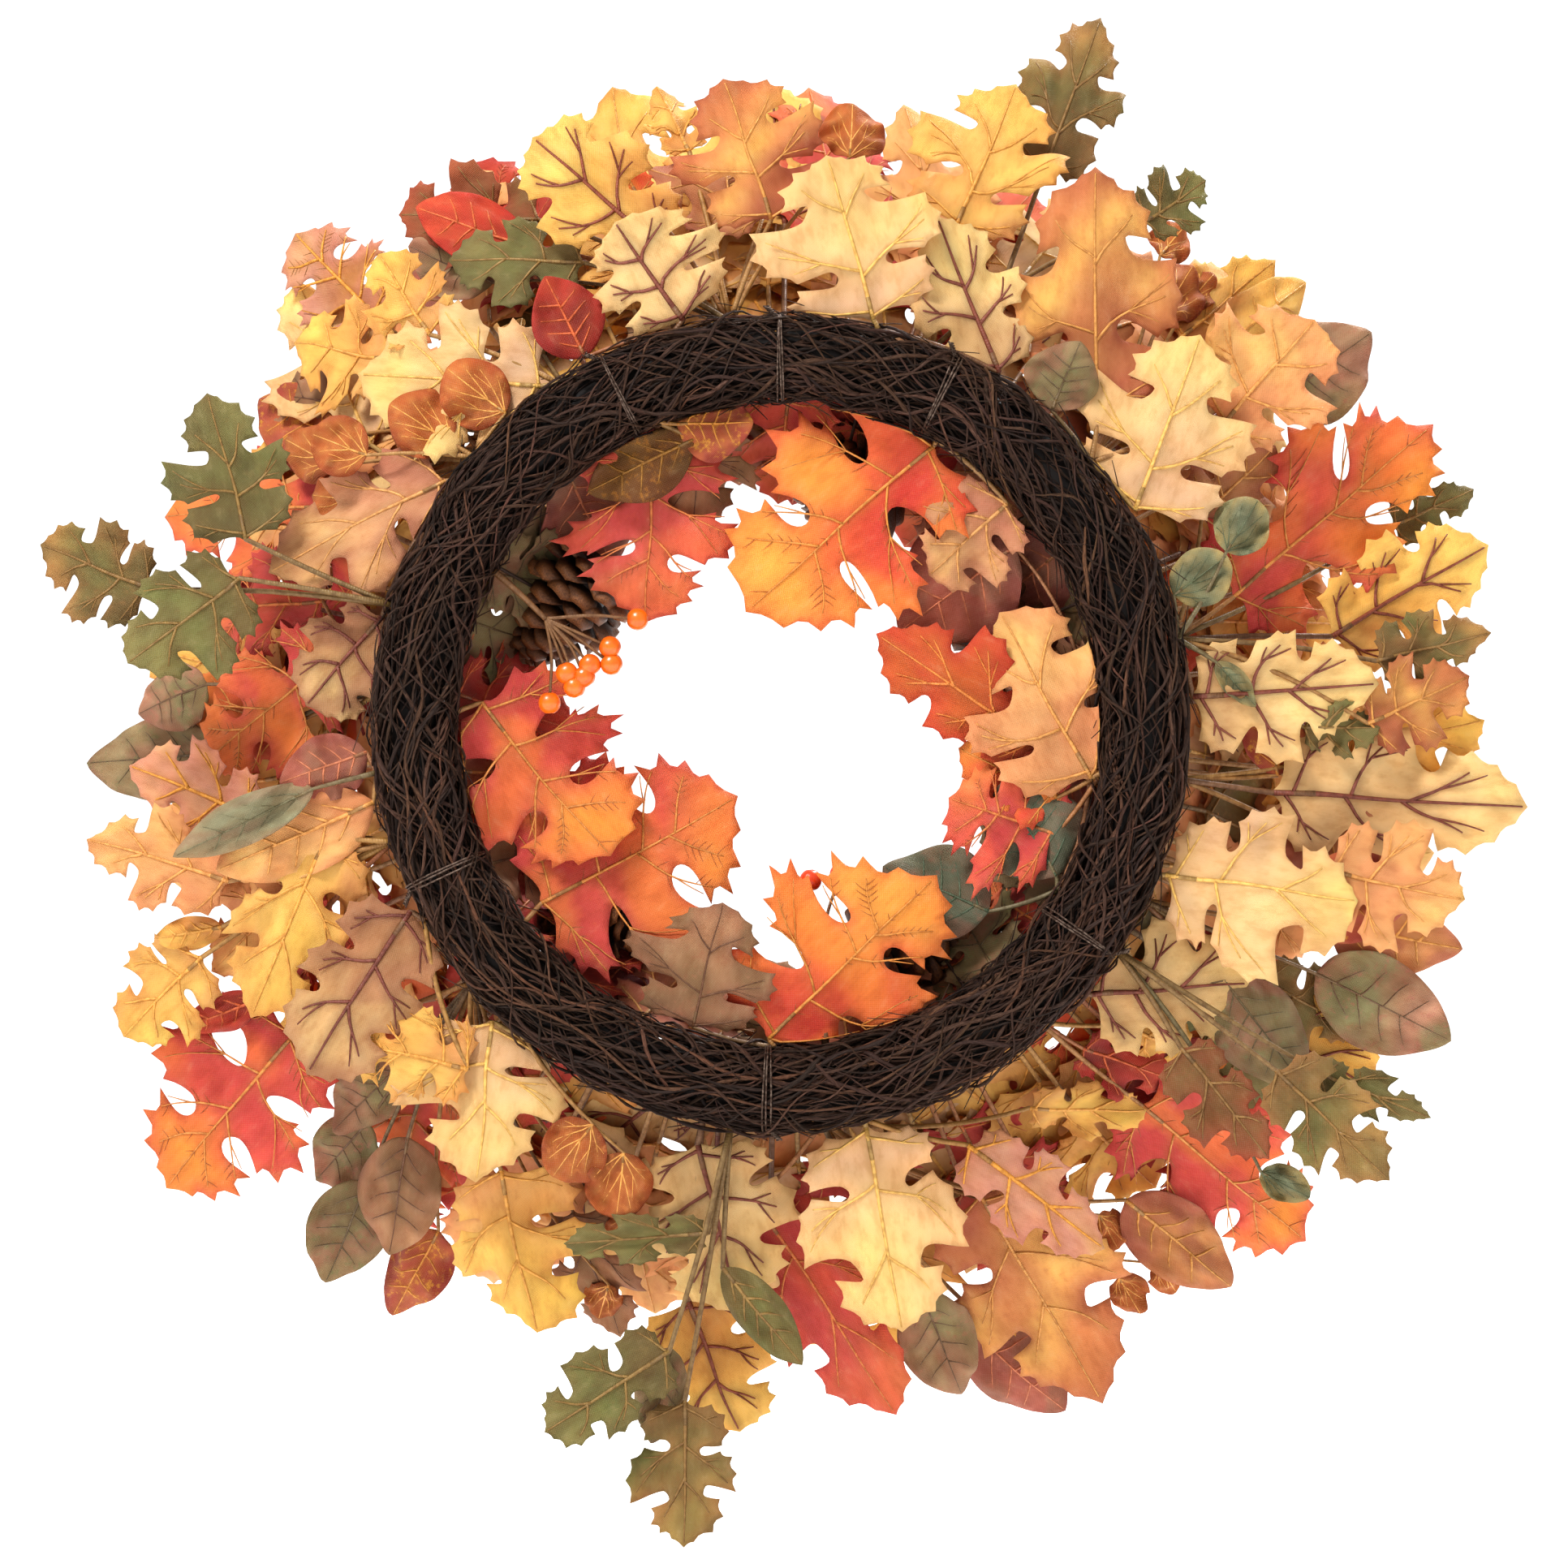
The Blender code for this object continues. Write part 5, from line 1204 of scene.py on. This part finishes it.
class Graph:
    """A material's node tree, with short calls for the nodes used here."""

    def __init__(self, name):
        self.material = bpy.data.materials.new(name)
        self.material.use_nodes = True
        self.tree = self.material.node_tree
        self.shader = self.tree.nodes["Principled BSDF"]
        self.output = self.tree.nodes["Material Output"]

    def node(self, kind, **values):
        made = self.tree.nodes.new(kind)
        for key, value in values.items():
            setattr(made, key, value)
        return made

    def feed(self, socket, value):
        """A link from another node's socket, or a plain value."""
        if isinstance(value, bpy.types.NodeSocket):
            self.tree.links.new(value, socket)
        else:
            socket.default_value = value

    def surface(self, **values):
        """Feeds the surface shader, whose input names are given with underscores."""
        for name, value in values.items():
            self.feed(self.shader.inputs[name.replace("_", " ")], value)

    def math(self, operation, *values):
        made = self.node("ShaderNodeMath", operation=operation)
        for socket, value in zip(made.inputs, values):
            self.feed(socket, value)
        return made.outputs[0]

    def mix(self, factor, first, second, blend="MIX"):
        """Two colours mixed by a share from 0 to 1."""
        made = self.node("ShaderNodeMix", data_type="RGBA", blend_type=blend)
        for name, value in (("Factor", factor), ("A", first), ("B", second)):
            kind = "VALUE" if name == "Factor" else "RGBA"
            socket = next(s for s in made.inputs if s.name == name and s.type == kind and s.enabled)
            self.feed(socket, value)
        return next(s for s in made.outputs if s.type == "RGBA")

    def toned(self, colour, red, green, blue):
        """The colour with each of its parts multiplied."""
        return self.mix(1.0, colour, (red, green, blue, 1), "MULTIPLY")

    def attribute(self, name, output="Color"):
        return self.node("ShaderNodeAttribute", attribute_name=name).outputs[output]

    def place_parts(self, *scales):
        """The leaf attribute's first parts, each multiplied by its scale, joined again as a place."""
        split = self.node("ShaderNodeSeparateXYZ")
        self.feed(split.inputs[0], self.attribute("leaf", "Vector"))
        joined = self.node("ShaderNodeCombineXYZ")
        for socket, part, scale in zip(joined.inputs, split.outputs, scales):
            self.feed(socket, part if scale == 1 else self.math("MULTIPLY", part, scale))
        return split.outputs, joined.outputs[0]

    def noise(self, scale, detail=3.0, vector=None, roughness=0.5):
        made = self.node("ShaderNodeTexNoise")
        made.inputs["Scale"].default_value = scale
        made.inputs["Detail"].default_value = detail
        made.inputs["Roughness"].default_value = roughness
        if vector is None:
            vector = self.node("ShaderNodeTexCoord").outputs["Object"]
        self.feed(made.inputs["Vector"], vector)
        return made.outputs["Fac"]

    def ramp(self, value, low, high, start=0.0, end=1.0):
        """A smooth step from start to end as the value goes from low to high."""
        made = self.node("ShaderNodeMapRange", interpolation_type="SMOOTHSTEP")
        names = ("Value", "From Min", "From Max", "To Min", "To Max")
        for name, given in zip(names, (value, low, high, start, end)):
            self.feed(made.inputs[name], given)
        return made.outputs["Result"]

    def bump(self, height, strength, distance):
        made = self.node("ShaderNodeBump")
        made.inputs["Strength"].default_value = strength
        made.inputs["Distance"].default_value = distance
        self.feed(made.inputs["Height"], height)
        self.surface(Normal=made.outputs["Normal"])
        return made.outputs["Normal"]


def leaf_cloth():
    """Printed polyester leaf: dyed colour in streaks, flecks, woven threads, and light through it."""
    g = Graph("leaf_cloth")
    (x, y, _), along = g.place_parts(0.09, 0.2)
    streak = g.noise(1.0, 5.0, along, 0.62)
    warp_thread = g.math("SINE", g.math("MULTIPLY", g.math("ADD", x, y), 8.2))
    weft_thread = g.math("SINE", g.math("MULTIPLY", g.math("SUBTRACT", x, y), 8.2))
    weave = g.math("MULTIPLY", g.math("ADD", warp_thread, weft_thread), 0.5)
    soft = g.noise(45.0, 4.0)
    grain = g.noise(1500.0, 2.0)
    flecks = g.ramp(g.noise(260.0, 5.0, roughness=0.68), 0.52, 0.68)
    speck = g.math("MULTIPLY", flecks, g.attribute("fleck", "Alpha"))
    colour = g.mix(speck, g.attribute("tint"), g.attribute("fleck"))
    colour = g.mix(g.ramp(soft, 0.3, 0.7, 0.0, 0.22), colour, g.toned(colour, 0.80, 0.70, 0.62))
    colour = g.mix(g.ramp(streak, 0.46, 0.66, 0.0, 0.55), colour, g.toned(colour, 0.82, 0.68, 0.56))
    colour = g.mix(g.ramp(streak, 0.46, 0.30, 0.0, 0.07), colour, (1.0, 0.8, 0.45, 1), "SCREEN")
    threads = g.math("MULTIPLY", g.math("ADD", weave, g.math("SUBTRACT", grain, 0.5)), 0.10)
    colour = g.mix(threads, colour, (1, 0.95, 0.85, 1))
    fine = g.math("ADD", g.math("MULTIPLY", weave, 0.2), g.math("MULTIPLY", grain, 0.3))
    normal = g.bump(g.math("ADD", g.math("MULTIPLY", streak, 1.1), fine), 0.6, 0.0007)
    g.surface(Base_Color=colour, Roughness=g.ramp(grain, 0.3, 0.7, 0.5, 0.72), Specular_IOR_Level=0.24,
              Sheen_Weight=0.04, Sheen_Roughness=0.5)
    through = g.node("ShaderNodeBsdfTranslucent")
    g.feed(through.inputs["Color"], g.toned(colour, 1.0, 0.92, 0.80))
    g.feed(through.inputs["Normal"], normal)
    both = g.node("ShaderNodeMixShader")
    for socket, value in zip(both.inputs, (0.27, g.shader.outputs[0], through.outputs[0])):
        g.feed(socket, value)
    g.feed(g.output.inputs["Surface"], both.outputs[0])
    return g.material


def moulded_vein():
    """Soft plastic ribs and stalks, wrapped and painted: fine rings along them, darker in mottled patches."""
    g = Graph("moulded_vein")
    (x, y, _), _ = g.place_parts()
    wraps = g.math("SINE", g.math("ADD", g.math("MULTIPLY", x, 5.5), y))
    mottle = g.noise(420.0, 4.0)
    tint = g.attribute("tint")
    g.surface(Base_Color=g.mix(g.ramp(mottle, 0.35, 0.7), tint, g.toned(tint, 0.66, 0.6, 0.55)),
              Roughness=g.ramp(mottle, 0.3, 0.7, 0.42, 0.66))
    g.bump(g.math("ADD", g.math("MULTIPLY", wraps, 0.3), mottle), 0.35, 0.0004)
    return g.material


def twig_bark():
    """Dry vine bark: long streaks, pale worn ridges and dark cracks."""
    g = Graph("twig_bark")
    streak = g.noise(3.2, 5.0, g.place_parts(0.12, 1)[1], 0.6)
    patch = g.noise(90.0, 3.0)
    tint = g.attribute("tint")
    colour = g.mix(g.ramp(streak, 0.40, 0.62), g.toned(tint, 0.42, 0.36, 0.32), tint)
    ridge = g.math("MULTIPLY", g.ramp(streak, 0.56, 0.78), g.ramp(patch, 0.4, 0.65))
    g.surface(Base_Color=g.mix(ridge, colour, g.toned(tint, 1.9, 1.75, 1.6)),
              Roughness=g.ramp(streak, 0.3, 0.7, 0.8, 0.5), Specular_IOR_Level=0.32)
    g.bump(streak, 0.9, 0.0006)
    return g.material


def tie_wire():
    """Brown annealed wire with a dull, scuffed skin."""
    g = Graph("tie_wire")
    scuff = g.noise(800.0, 3.0)
    g.surface(Base_Color=g.mix(g.ramp(scuff, 0.4, 0.7), g.attribute("tint"), (0.18, 0.13, 0.10, 1)),
              Roughness=g.ramp(scuff, 0.3, 0.7, 0.38, 0.6), Metallic=0.55)
    g.bump(scuff, 0.3, 0.0002)
    return g.material


def berry_skin():
    """Lacquered foam berry: mottled dye under a satin coat."""
    g = Graph("berry_skin")
    tint = g.attribute("tint")
    mottle = g.noise(330.0, 4.0)
    g.surface(Base_Color=g.mix(g.ramp(mottle, 0.42, 0.7, 0.0, 0.6), tint, g.toned(tint, 0.82, 0.52, 0.4)),
              Roughness=g.ramp(mottle, 0.3, 0.7, 0.26, 0.42), Coat_Weight=0.35, Coat_Roughness=0.22)
    g.bump(g.noise(1400.0, 2.0), 0.18, 0.0002)
    return g.material


def cone_wood():
    """Pinecone scales: fibrous brown wood with a faint resin shine."""
    g = Graph("cone_wood")
    fibre = g.noise(1.1, 5.0, g.attribute("leaf", "Vector"), 0.65)
    tint = g.attribute("tint")
    dark, pale = g.toned(tint, 0.55, 0.46, 0.38), g.toned(tint, 1.25, 1.15, 1.0)
    g.surface(Base_Color=g.mix(g.ramp(fibre, 0.36, 0.68), dark, pale),
              Roughness=g.ramp(fibre, 0.3, 0.7, 0.36, 0.62))
    g.bump(fibre, 0.6, 0.0008)
    return g.material


def studio_floor():
    """Plain pale floor that melts into the background."""
    g = Graph("studio_floor")
    g.surface(Base_Color=g.mix(g.noise(3.0, 2.0), (0.78, 0.78, 0.78, 1), (0.80, 0.80, 0.80, 1)),
              Emission_Color=(1, 1, 1, 1), Emission_Strength=0.62, Roughness=0.9)
    return g.material


# ---------------------------------------------------------------- the wreath

cloth, rib, bark, wire = leaf_cloth(), moulded_vein(), twig_bark(), tie_wire()
skin, wood = berry_skin(), cone_wood()

for pick, (root_angle, leaves) in PICKS.items():
    leaf_pick(pick, root_angle, leaves, False, [cloth, rib])
for number, (pick, (angle, finishes)) in enumerate(DISPLAY.items()):
    # Every other spray is mirrored
    hand = -1 if number % 2 else 1
    leaves = [(kind, (base[0], angle + base[1] * hand), (tip[0], angle + tip[1] * hand), width, finish)
              for (kind, base, tip, width), finish in zip(SPRAY, finishes)]
    leaf_pick(pick, angle, leaves, True, [cloth, rib])
under_leaves("under_leaves", UNDER_ROWS, sector_finish, [cloth, rib], 11)
under_leaves("inner_under_leaves", INNER_ROWS, inner_finish, [cloth, rib], 12)
under_leaves("front_leaves", FRONT_ROWS, sector_finish, [cloth, rib], 13)
for pick, design in BERRY_PICKS.items():
    berry_pick(pick, design, [skin, rib])
twig_ring(bark)
wire_rng = np.random.default_rng(5)
for number in range(1, WIRE_COUNT + 1):
    binding_wire(f"binding_wire_{number}", wire, wire_rng)
one_scale = cone_scale()
for cone_name, (reach_mm, angle, turn) in PINECONES.items():
    pinecone(cone_name, reach_mm, angle, turn, wood, one_scale)
nodes["wire_hoop"].data.materials.clear()
nodes["wire_hoop"].data.materials.append(wire)

# ---------------------------------------------------------------- studio

ROOM_LIGHT = 0.54
SEEN_WHITE = 1.05
KEY_POWER = 66
FRONT_POWER = 62
LAMP_SIZE = 0.7
LENS = 150
VIEW_WIDTH = 0.623
VIEW_ASIDE = -1.6 * MM
VIEW_BELOW = 24.2 * MM
scene = bpy.context.scene
middle = (cad_low + cad_high) / 2


def lay_floor():
    bpy.ops.mesh.primitive_circle_add(
        vertices=96, radius=14, fill_type="NGON", location=(0, 0, cad_low.z - 4 * MM))
    floor = bpy.context.active_object
    floor.name = "floor"
    floor.data.materials.append(studio_floor())


def light_room():
    """A white background to look at, which lights the wreath only softly."""
    world = bpy.data.worlds.new("studio")
    scene.world = world
    world.use_nodes = True
    background = world.node_tree.nodes["Background"]
    background.inputs["Color"].default_value = (1.0, 1.0, 1.0, 1)
    seen = world.node_tree.nodes.new("ShaderNodeLightPath").outputs["Is Camera Ray"]
    strength = world.node_tree.nodes.new("ShaderNodeMapRange")
    strength.inputs["To Min"].default_value = ROOM_LIGHT
    strength.inputs["To Max"].default_value = SEEN_WHITE
    world.node_tree.links.new(seen, strength.inputs["Value"])
    world.node_tree.links.new(strength.outputs["Result"], background.inputs["Strength"])


def soft_light(name, place, power):
    """A square lamp aimed at the wreath, itself unseen."""
    data = bpy.data.lights.new(name, "AREA")
    data.shape, data.size, data.energy = "SQUARE", LAMP_SIZE, power
    lamp = bpy.data.objects.new(name, data)
    scene.collection.objects.link(lamp)
    lamp.location = place
    lamp.rotation_mode = "QUATERNION"
    lamp.rotation_quaternion = (Vector(place) - middle).to_track_quat("Z", "Y")
    lamp.visible_camera = False


def set_camera():
    """Square on to the door side, with the whole wreath in view."""
    data = bpy.data.cameras.new("camera")
    data.lens = LENS
    data.clip_end = 60
    camera = bpy.data.objects.new("camera", data)
    scene.collection.objects.link(camera)
    camera.location = (VIEW_ASIDE, VIEW_WIDTH * LENS / data.sensor_width, CENTRE[2] - VIEW_BELOW)
    camera.rotation_euler = (math.pi / 2, 0, math.pi)
    scene.camera = camera
    scene.view_settings.view_transform = "Standard"
    scene.view_settings.look = "Medium High Contrast"


lay_floor()
light_room()
soft_light("key", (1.0, 1.35, 1.9), KEY_POWER)
soft_light("front_key", (-1.0, -1.4, 1.8), FRONT_POWER)
set_camera()
